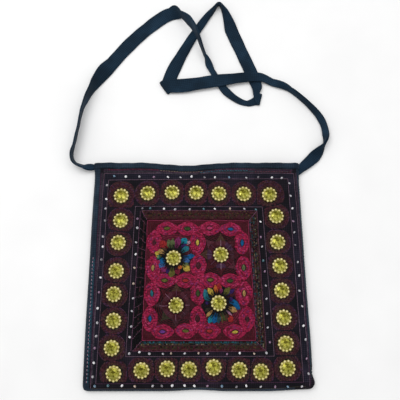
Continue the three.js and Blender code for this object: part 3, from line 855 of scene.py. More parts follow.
def strap_outline(thick):
    """The section's outline in shares of its half width and half thickness. A doubled strap has a slit."""
    across = np.sin(np.linspace(-np.pi / 2, np.pi / 2, TAPE.round))
    face = (1 - np.abs(across) ** TAPE.blunt) ** TAPE.soft
    doubled = np.clip((thick - TAPE.single) / TAPE.over, 0, 1)
    face[-1] = TAPE.open * doubled
    slit = TAPE.edge - TAPE.slit * doubled
    upper = np.column_stack([across, face])
    lower = np.column_stack([across[::-1], -face[::-1]])
    return np.concatenate([upper, [(slit, 0)], lower[:-1]])


def make_strap():
    """Folded cotton tape: soft creases across it, a little slack in its edges, and its real route."""
    frames = strap_frames()
    rings, uv = [], []
    for middle, across, out, wide, thick, length in frames:
        share, rise = strap_outline(thick).T
        slack = 1 + sum(part * math.sin(length / wave + start) for part, wave, start in STRAP_SLACK)
        crease = sum(high * np.sin(length / wave + lean * share + start)
                     for high, wave, lean, start in STRAP_CREASES)
        ring = middle + np.outer(share * wide / 2 * slack, across) + np.outer(rise * thick / 2 + crease, out)
        ring[:, 2] = np.maximum(ring[:, 2], STRAP.low)
        rings.append(ring)
        uv.append(np.column_stack([np.full(len(share), length), share * wide / 2]))
    batch = Batch()
    batch.add(*loft(rings), materials["strap"], np.concatenate(uv))
    strap = batch.build("strap_tape")
    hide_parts("strap")


# The bag's cloth
COLUMN_STEPS, ROW_STEPS, ROLL_STEPS = 124, 126, 8
PATCH_TOP = GAP + PATCH_THICK
MARGIN = Facts(left=8.5, right=4.0, bottom=3.6)
# The bottom right corner is of the dark ground cloth: from this x on, up to this y
DARK_CORNER = (118, -114)
# Where the side seams stand out, or are pinched: side, y, reach, how far out
SWELL = [(-1, -75, 110, 1.9), (-1, 70, 55, 0.9), (1, -85, 45, 0.9), (1, -136, 6, 2.2), (1, -124, 4, -1.4)]
BOTTOM_SWELL = 1.1


def seam_height(x, y):
    """Height of the seam's upper cloth, which is raised where its open end takes the strap."""
    heights = []
    for end in SEAM_ENDS:
        share = np.clip((y - end.closed) / (end.open - end.closed), 0, 1)
        heights.append(SEAM + (end.high - SEAM) * share)
    return np.where(x < 0, heights[0], heights[1])


def turned_edge():
    """Shares of a turned edge, from 1 at its foot."""
    return np.sin(np.linspace(np.pi / 2, 0, ROLL_STEPS + 1))[:-1]


def front_columns():
    """Across the front: share of the turned edge, the side it is on, and share of the width."""
    turned = turned_edge()
    span = np.linspace(0, 1, COLUMN_STEPS + 1)
    share = np.concatenate([turned, np.zeros_like(span), turned[::-1]])
    side = np.concatenate([-np.ones_like(turned), np.zeros_like(span), np.ones_like(turned)])
    width = np.concatenate([np.zeros_like(turned), span, np.ones_like(turned)])
    return share, side, width


def front_rows():
    """Up the front: place before the edges draw in, and share of the turned bottom edge."""
    turned = turned_edge()
    places = np.linspace(BOTTOM + ROLL, LIP, ROW_STEPS + 1)
    every = np.concatenate([np.full(len(turned), places[0]), places])
    return every, np.concatenate([turned, np.zeros_like(places)])


def front_points(columns, rows, depth):
    """Points of a face of the front that lies a depth below its outer one, rows by columns."""
    share, side, width = columns
    row_y, row_share = (np.asarray(v, float)[:, None] for v in rows)
    roll = ROLL - depth
    left = left_edge(row_y) + depth + roll
    right = right_edge(row_y) - depth - roll
    turned = np.maximum(share, row_share)
    out_x = share * np.sqrt(1 - row_share**2 / 2)
    out_y = row_share * np.sqrt(1 - share**2 / 2)
    x = left + (right - left) * width + side * out_x * roll
    upper, lower = smooth(row_y, 0, MOUTH), smooth(-row_y, 0, -BOTTOM)
    y = row_y - upper * drawn_in(MOUTH_DIPS, x) + lower * drawn_in(BOTTOM_DIPS, x)
    y = np.where(row_share > 0, BOTTOM + drawn_in(BOTTOM_DIPS, x) + depth + roll * (1 - out_y), y)
    y = y - out_y * BOTTOM_SWELL
    for way, place, reach, out in SWELL:
        x = x + (side == way) * way * out_x * out * np.exp(-(((y - place) / reach) ** 2))
    foot = np.where(side == 0, SEAM, seam_height(x, row_y))
    top = front_top(x, y) + relief(x, y) - depth
    return np.stack([x, y, foot + (top - foot) * np.sqrt(1 - turned**2)], axis=-1)


def make_front():
    """The soft front: its edges turn down to the seams, and it has a plain hem of navy cloth at the sides."""
    columns, rows = front_columns(), front_rows()
    outer = front_points(columns, rows, 0)
    inner = front_points(columns, rows, FRONT_THICK)
    points, faces = wall(outer, inner)
    faces = np.array(faces)
    middle = points[faces].mean(axis=1)
    x, y = middle[:, 0], middle[:, 1]
    plain = (x < left_edge(y) + MARGIN.left) | (x > right_edge(y) - MARGIN.right)
    plain |= y < BOTTOM + drawn_in(BOTTOM_DIPS, x) + MARGIN.bottom
    plain &= (x < DARK_CORNER[0]) | (y > DARK_CORNER[1])
    banded = inside_quad(x, y, BAND_OUTER) & ~inside_quad(x, y, BAND_INNER)
    banded &= (y > BAND_INNER[2][1]) & ~plain
    batch = Batch()
    batch.add(points, faces[~plain & ~banded], materials["ground"])
    batch.add(points, faces[banded], materials["band"], shared=True)
    batch.add(points, faces[plain], materials["navy"], shared=True)
    front = batch.build("front_cloth")
    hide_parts("front_panel")


# The back: rows in its rounded corners, even rows above, columns, how far up the bottom's dips reach, and the
# height and lengths of a soft ripple in its upper face
BACK = Facts(curve=9, rows=(12, 284, 60), columns=64, fade=40, ripple=0.12, ripple_x=9, ripple_y=13)


def make_back():
    """The flat back, with its two bottom corners rounded."""
    curve = ROLL * (1 - np.cos(np.linspace(0, np.pi / 2, BACK.curve)))
    rise = np.concatenate([curve, np.linspace(*BACK.rows)])
    columns = np.linspace(0, 1, BACK.columns)
    rows = []
    for up in rise:
        y = BOTTOM + up * (BACK_LIP - BOTTOM) / rise[-1]
        short = max(ROLL - up, 0)
        corner = ROLL - math.sqrt(ROLL**2 - short**2)
        left, right = left_edge(y) + corner, right_edge(y) - corner
        x = left + (right - left) * columns
        low = drawn_in(BOTTOM_DIPS, x) * (1 - smooth(y, BOTTOM, BOTTOM + BACK.fade))
        rows.append(np.column_stack([x, y + low, np.zeros_like(x)]))
    lower = np.array(rows)
    upper = lower.copy()
    ripple = np.sin(lower[..., 0] / BACK.ripple_x) * np.sin(lower[..., 1] / BACK.ripple_y)
    upper[..., 2] = BACK_THICK - BACK.ripple * (1 + ripple)
    batch = Batch()
    batch.add(*wall(upper, lower), materials["navy"])
    back = batch.build("back_cloth")
    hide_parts("back_panel")


# Ripples in the hem: last point of its section that moves, axis, height, length and start of a wave
HEM_RIPPLES = ((7, 1, 0.25, 7.0, 0), (7, 1, 0.2, 3.3, 0), (5, 2, 0.15, 5.0, 1))


def make_hem():
    """The mouth's hem: a strip folded over the lip from corner to corner."""
    start = MOUTH - BINDING_REACH
    over, under = -GAP - BINDING_THICK, FRONT_THICK + GAP + BINDING_THICK
    # Place up the front, and depth below its outer face
    section = [
        (start, -GAP), (start - 0.3, -GAP - 0.5), (start + 0.5, over), (start + 2.5, over - 0.15),
        (MOUTH - 2.6, over - 0.1), (MOUTH - 0.9, over + 0.15), (MOUTH - 0.1, -0.3), (MOUTH, 1.0),
        (MOUTH - 0.1, under - 0.9), (MOUTH - 0.9, under - 0.1), (MOUTH - 3, under), (start, under),
        (start, under - BINDING_THICK), (MOUTH - 1, under - BINDING_THICK), (MOUTH - 0.95, -GAP),
    ]
    columns = front_columns()
    lines = [front_points(columns, ([y], [0.0]), depth)[0] for y, depth in section]
    rings = np.stack(lines, axis=1)
    x = rings[..., 0]
    for last, axis, high, wave, begin in HEM_RIPPLES:
        rings[:, 1:last, axis] += high * np.sin(x[:, 1:last] / wave + begin)
    batch = Batch()
    batch.add(*loft(rings), materials["navy"])
    hem = batch.build("mouth_hem")
    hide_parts("mouth_binding")


# A patch's edge is rounded down by this much over this distance. Points across and up its grid
PATCH_EDGE, PATCH_ROUND = 0.5, 1.5
CENTRE_GRID, STRIP_GRID = (72, 80), (90, 9)


def patch_points(corners, grid, height, edge):
    """A patch's face between four corners, rounded down by edge along its border."""
    u, v = np.meshgrid(*(np.linspace(0, 1, count) for count in grid))
    tl, tr, br, bl = (np.array(c, float) for c in corners)
    u2, v2 = u[..., None], v[..., None]
    xy = (bl * (1 - u2) + br * u2) * (1 - v2) + (tl * (1 - u2) + tr * u2) * v2
    x, y = xy[..., 0], xy[..., 1]
    near = edge_distance(x, y, corners)
    z = front_top(x, y) + relief(x, y) + height - edge * np.maximum(1 - near / PATCH_ROUND, 0) ** 2
    return np.dstack([xy, z])


def make_patch(name, node, corners, grid, material):
    """A patch of cloth sewn on the front."""
    upper = patch_points(corners, grid, PATCH_TOP, PATCH_EDGE)
    lower = patch_points(corners, grid, GAP, 0.0)
    batch = Batch()
    batch.add(*wall(upper, lower), material)
    piece = batch.build(name)
    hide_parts(node)


def strip_corners(side):
    """A frame strip's corners: two outer and two inner ones."""
    outer_a, outer_b = (np.array(p, float) for p in sides(FRAME)[side])
    inner_a, inner_b = (np.array(p, float) for p in sides(PATCH)[side])
    along = (outer_b - outer_a) / np.linalg.norm(outer_b - outer_a) * GAP
    away = np.array((-along[1], along[0]))
    return [outer_a + along, outer_b - along, inner_b - along + away, inner_a + along + away]


SIDES = ("top", "right", "bottom", "left")
STRIP_CLOTH = {"top": "strip_brown", "right": "strip_dark", "bottom": "strip_brown", "left": "strip_black"}


def make_patches():
    make_patch("centre_cloth", "centre_panel", PATCH, CENTRE_GRID, materials["panel"])
    for k, side in enumerate(SIDES):
        corners = [tuple(p) for p in strip_corners(k)]
        make_patch(f"strip_cloth_{side}", f"frame_strip_{side}", corners, STRIP_GRID,
                   materials[STRIP_CLOTH[side]])


# Gems: a moulded flower round a cut stone. Radius and height of the plate's rings and of the stone's levels
PLATE = [(8.4, 0), (9.5, 0.3), (9.5, 0.9), (8.2, 1.5), (6.0, 2.0), (5.0, 2.0)]
PLATE_ROUND = 36
STONE = [(6.6, 1.5), (7.3, 2.4), (5.6, 3.2), (3.7, 3.8)]
STONE_TOP = 4.0
PETAL = Facts(at=8.5, high=1.2, half=(1.7, 1.65, 1.4), rings=7, round=10, lean=1.35)
# Which of the three painted reflection tones each facet shows, in turn from the right anticlockwise, the same
# on every stone: a painted dark reflection towards the mouth and painted bright ones elsewhere
FACET_REFLECTION_TONES = {
    "girdle": (1, 1, 2, 1, 1, 2, 1, 2, 1, 1, 2, 1),
    "crown": (0, 1, 1, 0, 1, 1, 0, 1, 2, 1, 2, 1),
    "star": (1, 1, 0, 0, 1, 2, 1, 2, 1, 1, 2, 1),
    "table": (1, 0, 0, 0, 0, 1, 1, 1, 1, 0, 1, 1),
}


def level_ring(half_x, half_y, z, count):
    """A level ring of points about the upright axis."""
    return np.column_stack([ellipse(0, 0, half_x, half_y, count), np.full(count, z)])


def spun(angle):
    """The matrix of a turn about the upright axis."""
    c, s = math.cos(angle), math.sin(angle)
    return np.array([[c, -s, 0], [s, c, 0], [0, 0, 1]])


def gem_base():
    """The flower's plate, closed below and under the stone."""
    return loft([level_ring(radius, radius, z, PLATE_ROUND) for radius, z in PLATE])


def gem_petal(k):
    """One rounded petal of the flower."""
    half_x, half_y, half_z = PETAL.half
    rings = []
    for lean in np.linspace(-PETAL.lean, PETAL.lean, PETAL.rings):
        wide = math.cos(lean)
        rings.append(level_ring(half_x * wide, half_y * wide, half_z * math.sin(lean), PETAL.round))
    points, faces = loft(rings)
    return (points + (PETAL.at, 0, PETAL.high)) @ spun(2 * math.pi * k / PETALS).T, faces


def gem_stone():
    """The stone: facets up to a low point, closed below. Gives the faces with the kind and number of each."""
    points = []
    for level, (radius, z) in enumerate(STONE):
        start = math.pi / PETALS if level == 2 else 0
        for k in range(PETALS):
            angle = start + 2 * math.pi * k / PETALS
            points.append((radius * math.cos(angle), radius * math.sin(angle), z))
    points.append((0, 0, STONE_TOP))
    top = len(points) - 1
    foot, girdle, crown, table = (level * PETALS for level in range(4))
    faces = [(tuple(range(PETALS))[::-1], "girdle", 0)]
    for k in range(PETALS):
        after = (k + 1) % PETALS
        faces.append(((foot + k, foot + after, girdle + after, girdle + k), "girdle", k))
        faces.append(((girdle + k, girdle + after, crown + k), "girdle", k))
        faces.append(((crown + k, girdle + after, crown + after), "crown", k))
        faces.append(((crown + k, crown + after, table + after), "star", k))
        faces.append(((table + k, crown + k, table + after), "crown", k))
        faces.append(((table + k, table + after, top), "table", k))
    return np.array(points), faces


def seated(points, x, y, seat, turn):
    """Points of a gem, turned, tipped to the cloth and set down on it."""
    out = normals_at(np.array([x]), np.array([y]))[0]
    lean = Vector((0, 0, 1)).rotation_difference(Vector(out)).to_matrix()
    base = np.array([x, y, float(surface(x, y))]) + out * seat
    return points @ (np.array(lean) @ spun(turn)).T + base


def make_gems():
    base, base_faces = gem_base()
    petals = [gem_petal(k) for k in range(PETALS)]
    stone, facets = gem_stone()
    reflection_tones = [materials[f"stone_{tone}"] for tone in STONE_REFLECTION_TONES]
    for name, x, y, turn in GEMS:
        seat = GEM_SEAT + (PATCH_TOP if name.startswith("centre") else 0)
        batch = Batch()
        batch.add(seated(base, x, y, seat, turn), base_faces, materials["plate"])
        for points, faces in petals:
            batch.add(seated(points, x, y, seat, turn), faces, materials["petal"])
        points = seated(stone, x, y, seat, turn)
        # Tones are counted from the world's right, not from the gem's turn, so the painted reflections fall
        # the same way on every stone
        start = round(turn / (2 * math.pi) * PETALS)
        for tone, material in enumerate(reflection_tones):
            faces = [face for face, kind, k in facets if FACET_REFLECTION_TONES[kind][(k + start) % PETALS] == tone]
            batch.add(points, faces, material, flat=True, shared=tone > 0)
        gem = batch.build(f"flower_gem_{name}")
        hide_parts(f"gem_{name}")


# Embroidery. Each kind of stitch draws its scatter from a seed of its own
SEEDS = Facts(rings=3, ovals=11, rays=2, ladder=4, strips=7, outer_beads=5, inner_beads=8)


def runs(mask):
    """The indices of each unbroken run of true values round a closed ring."""
    if mask.all():
        return [np.arange(len(mask))]
    order = np.roll(np.arange(len(mask)), -int(np.argmin(mask)))
    parts = np.split(order, np.flatnonzero(~mask[order]))
    return [part[1:] for part in parts if len(part) > 1]


# Rounds about the gems: how far they stay from the bands, and how much nearer they are to their own gem
RING_ROUNDS = (10.9, 12.15, 13.4, 14.65, 15.9, 17.15)
RING = Facts(step=1.2, thread=0.62, margin=1.2, gap=0.7)
RING_SHADES = [("brown", "raisin", "moss"), ("brown", "raisin", "plum"), ("raisin", "plum", "wine"),
               ("plum", "raisin", "wine"), ("plum", "grape", "wine"), ("grape", "plum", "raisin"),
               ("plum", "wine", "raisin"), ("grape", "plum", "wine")]
# The gems at the mouth's two corners have more rounds
CORNER_ROUNDS, CORNER_GEMS = (18.4, 19.65), (0, 6)


def make_rings():
    """Rounds of plum thread about each border gem, as far as the next gem's rounds and the bead bands."""
    batch = Batch()
    scatter = random.Random(SEEDS.rings)
    gems = np.array(BORDER_GEMS)
    field, hole = inset(BAND_INNER, RING.margin), inset(INNER_LINE, -RING.margin)
    for own, (gem_x, gem_y) in enumerate(BORDER_GEMS):
        rounds = RING_ROUNDS + CORNER_ROUNDS if own in CORNER_GEMS else RING_ROUNDS
        for radius, shades in zip(rounds, RING_SHADES):
            count = STITCH_STEPS * round(2 * np.pi * radius / RING.step / STITCH_STEPS)
            angles = np.arange(count) * 2 * np.pi / count + own
            x, y = gem_x + radius * np.cos(angles), gem_y + radius * np.sin(angles)
            far = np.hypot(x[:, None] - gems[:, 0], y[:, None] - gems[:, 1])
            far[:, own] = FAR
            mask = (far.min(axis=1) > radius + RING.gap) & inside_quad(x, y, field) & ~inside_quad(x, y, hole)
            for run in runs(mask):
                points, out = on_front(np.column_stack([x, y])[run])
                thick = np.full(len(run), RING.thread)
                stitches(batch, points, out, thick, shades, scatter, closed=len(run) == count)
    batch.build("ring_stitches")


# The panel's magenta ovals: x, y and the colour of the middle
LYING_OVALS = [
    (-40.7, 55.1, "olive"), (-14.3, 54.6, "green"), (14.4, 55.1, "pink"), (41.4, 54.1, "blue"),
    (-42.8, -11.6, "olive"), (-16.4, -11.6, "red"), (15.1, -11.0, "olive"), (39.9, -12.0, "green"),
    (-44.9, -74.6, "purple"), (-15.6, -73.3, "olive"), (13.5, -73.7, "red"), (45.4, -74.6, "yellow"),
]
STANDING_OVALS = [
    (-57, 37.4, "maroon"), (-58, 4.5, "tan"), (-58.8, -27.6, "teal"), (-61.1, -58.8, "blue"),
    (-1.2, 36.7, "yellow"), (-0.1, 7.0, "maroon"), (-0.7, -27.6, "green"), (-1.1, -58.8, "maroon"),
    (56, 36.7, "blue"), (57.5, 4.5, "sage"), (57.6, -27.6, "tan"), (60.6, -59.1, "plum"),
]
LYING_SIZE, STANDING_SIZE = (14.6, 9.8), (10.9, 15.9)
# A small round oval in the panel's middle: its place, half size, lens and colour
MIDDLE_OVAL = ((-0.7, -11.4), (8.0, 8.0), (0.6, 0.6), "pink")
# The lens in an oval's middle, with a dark rim, and the threads across it
LENS = Facts(half=(3.9, 2.0), rim=2.2, across=(-0.72, -0.24, 0.24, 0.72), points=9, lift=0.75, thick=0.62,
             taper=0.6)
# Rounds of an oval: how far its pad and they lie inside the edge, their width in gaps, their lift, which
# follows a part of a half turn, and how high the oval stands where leaves run over it, between two depths
OVAL = Facts(rounds=7, points=60, step=1.15, power=1.6, pad=0.4, edge=0.7, wide=0.64, low=0.15, climb=0.55,
             start=0.1, over=0.6, high=1.25, foot=-0.14, top=0.12)
OVAL_SHADES = ("magenta",) * 5 + ("cerise",) * 2 + ("pink", "orchid")
OVAL_OUTLINE = ("magenta", "cerise", "magenta")
# A mound's rings in shares of its size, how deep its foot is sunk, and the rise of an oval's pad and rim
MOUND = Facts(shares=(1.0, 0.99, 0.8, 0.55, 0.3), points=28, foot=0.3, pad=0.7, rim=1.0)


def mound(batch, x, y, half_x, half_y, rise, material):
    """A low padded mound of cloth under stitches."""
    rings = []
    for share in MOUND.shares:
        ring = ellipse(x, y, half_x * share, half_y * share, MOUND.points, OVAL.power)
        lift = PATCH_TOP + (-MOUND.foot if share == 1 else rise * math.sqrt(1 - share**2))
        rings.append(on_front(ring, lift)[0])
    batch.add(*loft(rings), material)


def oval(batch, x, y, half, lens, colour, scatter):
    """Rounds of magenta chain stitch over a pad, about a small bright lens with a dark rim."""
    mound(batch, x, y, half[0] - OVAL.pad, half[1] - OVAL.pad, MOUND.pad, thread("cerise"))
    rim_x, rim_y = lens[0] + LENS.rim, lens[1] + LENS.rim
    gap_x = (half[0] - OVAL.edge - rim_x) / (OVAL.rounds - 1)
    gap_y = (half[1] - OVAL.edge - rim_y) / (OVAL.rounds - 1)
    for k in range(OVAL.rounds):
        half_x, half_y = half[0] - OVAL.edge - k * gap_x, half[1] - OVAL.edge - k * gap_y
        ring = ellipse(x, y, half_x, half_y, OVAL.points, OVAL.power)
        _, at = resample(ring, OVAL.step, True)
        count = STITCH_STEPS * max(round(len(at) / STITCH_STEPS), 1)
        ring, _ = resample(ring, (at[-1] + at[1]) / count, True)
        angles = np.arctan2((ring[:, 1] - y) / half_y, (ring[:, 0] - x) / half_x)
        high = math.sin(math.pi * (OVAL.start + OVAL.over * k / (OVAL.rounds - 1)))
        points, out = on_front(ring, PATCH_TOP + OVAL.low + OVAL.climb * high)
        wide = OVAL.wide * np.hypot(gap_x * np.cos(angles), gap_y * np.sin(angles))
        stitches(batch, points, out, wide, OVAL_SHADES if k else OVAL_OUTLINE, scatter, closed=True)
    mound(batch, x, y, rim_x, rim_y, MOUND.rim, thread("black"))
    upright = lens[1] > lens[0]
    long, short = max(lens), min(lens)
    at = np.linspace(-1, 1, LENS.points)
    for u in LENS.across:
        along, aside = at * long, u * short * (1 - at**2)
        xy = np.column_stack([aside, along] if upright else [along, aside]) + (x, y)
        lay(batch, xy, PATCH_TOP + LENS.lift, LENS.thick * (1 - LENS.taper * at**2), thread(colour))


def make_ovals():
    batch = Batch()
    scatter = random.Random(SEEDS.ovals)
    for x, y, colour in LYING_OVALS:
        oval(batch, x, y, LYING_SIZE, LENS.half, colour, scatter)
    for x, y, colour in STANDING_OVALS:
        oval(batch, x, y, STANDING_SIZE, LENS.half[::-1], colour, scatter)
    place, half, lens, colour = MIDDLE_OVAL
    oval(batch, *place, half, lens, colour, scatter)
    batch.build("oval_stitches")


# The four cells: their rounds, and where a flower's ground turns bright
CELL = Facts(inner=9.0, outer=31.0, step=1.2, bright=21.5)
# Each cell's ground shades, by round in turn. In the two star cells (1 and 2) garnet comes first, so the round
# at 10.2 mm, just outside the gem, is black: a painted shadow round the gem
CELL_SHADES_WITH_GEM_SHADOW = [("black",), ("garnet", "black"), ("garnet", "black"), ("black",)]
BRIGHT_SHADES, ROW_SHADES = ("cerise", "maroon"), ("maroon", "garnet")
# Rows between the cells, in x, how far they reach into them, and the drift and swell of their stitches
ROWS = Facts(span=(-69, 70, 1.6), reach=1, drift=0.9, swell=0.4)
# The fill's thread, how far it stays inside the panel, and how far it goes under the ovals
FILL = Facts(thread=0.85, step=1.4, stitch=4.2, sunk=0.35, margin=2.2, under=1.5)


def oval_depth(x, y, shrink=0.0):
    """How deep inside the magenta ovals places are, taken smaller by shrink: 0 at an edge, 1 in a middle."""
    deepest = np.full(np.shape(x), -FAR)
    for ovals, (half_x, half_y) in ((LYING_OVALS, LYING_SIZE), (STANDING_OVALS, STANDING_SIZE)):
        for oval_x, oval_y, _ in ovals:
            a, b = np.abs(x - oval_x) / (half_x - shrink), np.abs(y - oval_y) / (half_y - shrink)
            deepest = np.maximum(deepest, 1 - a**OVAL.power - b**OVAL.power)
    return deepest


def make_fill():
    """Ground stitches of the panel: dark rounds in the four cells, and plum rows between the ovals."""
    batch = Batch()
    low = PATCH_TOP - FILL.sunk
    field = inset(PATCH, FILL.margin)
    cells = np.array(CENTRE_GEMS)

    def reached(xy):
        """Which places the fill covers, and how far they are from each cell's middle."""
        x, y = xy[:, 0], xy[:, 1]
        away = np.hypot(x[:, None] - cells[:, 0], y[:, None] - cells[:, 1])
        return inside_quad(x, y, field) & ~(oval_depth(x, y, FILL.under) > 0), away

    def sew(xy, mask, thick, colour):
        """Stitches along each run of covered places that is long enough."""
        for run in runs(mask):
            if len(run) > 2:
                lay(batch, xy[run], low, FILL.thread * thick(run), thread(colour), len(run) == len(xy))

    for cell, (cell_x, cell_y) in enumerate(CENTRE_GEMS):
        for k, radius in enumerate(np.arange(CELL.inner, CELL.outer, CELL.step)):
            ring = ellipse(cell_x, cell_y, radius, radius, int(2 * np.pi * radius / FILL.step))
            mask, away = reached(ring)
            mask &= away.argmin(axis=1) == cell
            bright = cell in FLOWERS and radius > CELL.bright
            shades = BRIGHT_SHADES if bright else CELL_SHADES_WITH_GEM_SHADOW[cell]
            sew(ring, mask, lambda run: plump(np.arange(len(run)) * FILL.step, FILL.stitch),
                shades[k % len(shades)])
    y = np.arange(field[3][1], field[0][1], FILL.step)
    for k, x in enumerate(np.arange(*ROWS.span)):
        row = np.column_stack([np.full_like(y, x), y])
        mask, away = reached(row)
        mask &= away.min(axis=1) > CELL.outer - ROWS.reach
        mask[0] = False
        sew(row, mask, lambda run: plump(y[run] + ROWS.drift * k, FILL.stitch, ROWS.swell),
            ROW_SHADES[k % len(ROW_SHADES)])
    batch.build("fill_stitches")


# The two bright flowers, as leaves of long stitches about a gem: heading in degrees anticlockwise from the
# right, start, end, half width, colour, and how far the heading turns towards the tip
FLOWERS = {
    0: [
        (6, 11.5, 27, 3.0, "blue", 0), (-12, 11.5, 21, 2.7, "steel", 0), (19, 12, 24, 1.9, "maroon", 0),
        (37, 12, 24, 3.9, "teal", 0), (51, 14, 24, 2.1, "violet", 0), (58, 20, 30, 3.9, "cyan", 0),
        (46, 24, 30, 1.6, "pale", 0), (76, 12, 28, 3.2, "orchid", 0), (94, 11.5, 26, 2.6, "sage", 0),
        (107, 12, 25, 3.0, "sage", 0), (127, 14, 28, 3.9, "red", 0), (138, 12, 20, 1.2, "brown", 0),
        (153, 13, 22, 2.3, "tan", 0), (166, 16, 25, 2.7, "yellow", 0), (177, 16, 22, 1.9, "jade", 0),
        (189, 11, 19, 3.2, "blue", 0), (203, 11.5, 19, 2.1, "blue", 0), (214, 13, 22, 2.4, "steel", 0),
        (229, 14, 23, 3.5, "orchid", 0), (246, 14, 22, 1.7, "violet", 0), (262, 11.5, 25, 3.5, "olive", 0),
        (286, 12, 22, 2.8, "cerise", 0), (304, 11, 17, 2.0, "orange", 0), (322, 14, 26, 3.7, "yellow", 0),
        (333, 13, 22, 1.7, "sage", 0),
    ],
    3: [
        (6, 12.5, 28, 3.7, "blue", -22), (17, 13, 19, 2.1, "violet", 0), (-24, 13, 25, 2.8, "tan", 0),
        (-43, 13, 23, 0.9, "lilac", 0), (-53, 17, 29, 3.2, "red", 0), (-61, 12, 25, 1.7, "brown", 0),
        (-69, 12, 24, 1.3, "green", 0), (-79, 12, 25, 1.3, "ochre", 0), (-90, 12, 25, 2.3, "slate", 0),
        (-105, 12, 26, 3.9, "blue", 0), (-118, 16, 28, 2.3, "cyan", 0), (-133, 11.5, 23, 1.5, "tan", 0),
        (-150, 12, 20, 1.5, "moss", 0), (180, 11.5, 17, 1.3, "violet", 0), (160, 11, 25, 3.2, "teal", -24),
        (126, 11, 23, 2.6, "yellow", 0), (101, 12, 23, 2.2, "orange", 0), (89, 13, 25, 2.8, "red", 0),
        (78, 12, 19, 1.4, "orchid", 0), (54, 11, 24, 3.1, "olive", 0), (41, 14, 27, 1.6, "violet", 0),
        (30, 13, 24, 1.5, "maroon", 0),
    ],
}
# A leaf: its stitches fan out and are darker from the base to the point split. Those at its sides are
# shorter, its middle stands higher, its rim is dark, and a wide one has a dark vein
LEAF = Facts(thread=1.2, edge=0.5, points=12, split=4, base=0.6, tip=1.0, spread=1.1, start=0.02, end=0.98,
             short=0.12, low=0.1, climb=(-0.1, 0.35), full=0.58, rim=0.5, least=0.3, rise=0.3, by_width=0.15)
VEIN = Facts(wide=1.8, end=0.66, points=8, thick=0.62, taper=0.6, lift=0.35)
# A star's points start just beyond that black round, which shows as a painted shadow round its gem
STAR = Facts(start=11.2, end=28.0, half=6.6, tone=0.95, rise=0.5, points=8)
# Rays along the stars' points and between them: start, radius and rise. Those between have an end by chance
RAY = Facts(points=9, lift=0.25, along=(11, 0.24, 1.5), between=(10.6, 0.26, 0.4), end=(14, 18), shade="wine")
# The two dark stars, anticlockwise from the right: shades of each point's base and tip, and its ray's end and
# shade
STARS = {
    1: [
        ("plum", "maroon", 16, "mauve"), ("grape", "maroon", 19, "dusk"), ("wine", "brown", 19, "pale"),
        ("maroon", "wine", 18, "mauve"), ("grape", "brown", 19, "dusk"), ("maroon", "garnet", 19, "mauve"),
        ("grape", "garnet", 19, "pale"), ("maroon", "wine", 19, "blush"),
    ],
    2: [
        ("plum", "maroon", 17, "lilac"), ("wine", "maroon", 19, "mauve"), ("maroon", "brown", 20, "mauve"),
        ("wine", "garnet", 20, "lilac"), ("maroon", "plum", 21.5, "lilac"), ("wine", "moss", 18, "mauve"),
        ("maroon", "plum", 20, "lilac"), ("plum", "maroon", 16, "mauve"),
    ],
}


def over_ovals(xy):
    """How far stitches climb, where they run over the ovals."""
    return OVAL.high * smooth(oval_depth(xy[:, 0], xy[:, 1]), OVAL.foot, OVAL.top)


def headings(degrees):
    """Directions in plan, for headings anticlockwise from the right."""
    way = np.radians(degrees)
    return np.column_stack([np.cos(way), np.sin(way)])


def leaf(batch, centre, heading, facts, colours, shape, rise, bend=0.0, vein=False):
    """A leaf of long stitches that fan from a base to a tip, high in the middle, with a dark outline."""
    start, end, half = facts
    at = np.linspace(0, 1, LEAF.points)
    ahead = headings(heading + bend * at**2)
    aside = np.column_stack([-ahead[:, 1], ahead[:, 0]])
    swell = shape(at)
    threads = max(3, round(2 * half / LEAF.thread))
    spacing = half * swell * 2 / (threads - 1)
    edge = 1 + LEAF.edge / half
    for u in (-edge, *np.linspace(-1, 1, threads), edge):
        outline = abs(u) > 1
        along = start + (end - start) * (LEAF.start + (LEAF.end - LEAF.short * min(u * u, 1)) * at)
        xy = np.array(centre) + along[:, None] * ahead + (u * half * swell)[:, None] * aside
        crown = rise * max(1 - u * u, 0) * swell * smooth(at, *LEAF.climb)
        lift = PATCH_TOP + LEAF.low + over_ovals(xy) + crown
        thick = np.maximum((LEAF.rim if outline else LEAF.full) * spacing, LEAF.least)
        parts = zip((slice(LEAF.split + 1), slice(LEAF.split, None)), colours)
        for part, colour in [(slice(None), thread("black"))] if outline else parts:
            lay(batch, xy[part], lift[part], thick[part], colour)
    if half > VEIN.wide and vein:
        at = np.linspace(0, VEIN.end, VEIN.points)
        along = start + (end - start) * at
        xy = np.array(centre) + along[:, None] * headings(heading + bend * at**2)
        lift = PATCH_TOP + over_ovals(xy) + rise + VEIN.lift
        lay(batch, xy, lift, VEIN.thick - VEIN.taper * at, thread("black"))


# Widths along a flower's leaf and a star's point, in shares of the half width and of the length
LEAF_CURVE = Facts(base=0.34, swell=0.66, widest=0.62, tip=0.39, least=0.06)
STAR_CURVE = Facts(base=0.55, swell=1.6, taper=0.68, least=0.05)


def petal_shape(at):
    """Width along a flower's leaf: narrow at its base, with a blunt tip."""
    curve = LEAF_CURVE
    blunt = np.sqrt(np.maximum(1 - (np.maximum(at - curve.widest, 0) / curve.tip) ** 2, 0))
    return np.maximum((curve.base + curve.swell * smooth(at, 0, curve.widest)) * blunt, curve.least)


def star_shape(at):
    """Width along a star's point: wide near its base, and straight to its tip."""
    curve = STAR_CURVE
    return np.maximum(np.minimum(curve.base + at * curve.swell, (1 - at) / curve.taper), curve.least)


def ray_line(batch, centre, heading, end, colour, facts):
    """A thin straight stitch out from a star's middle, along the back of its point."""
    start, radius, rise = facts
    at = np.linspace(start, end, RAY.points)
    swell = star_shape((at - STAR.start) / (STAR.end - STAR.start))
    xy = np.array(centre) + at[:, None] * headings([heading])
    lay(batch, xy, PATCH_TOP + RAY.lift + rise * swell, radius, thread(colour))


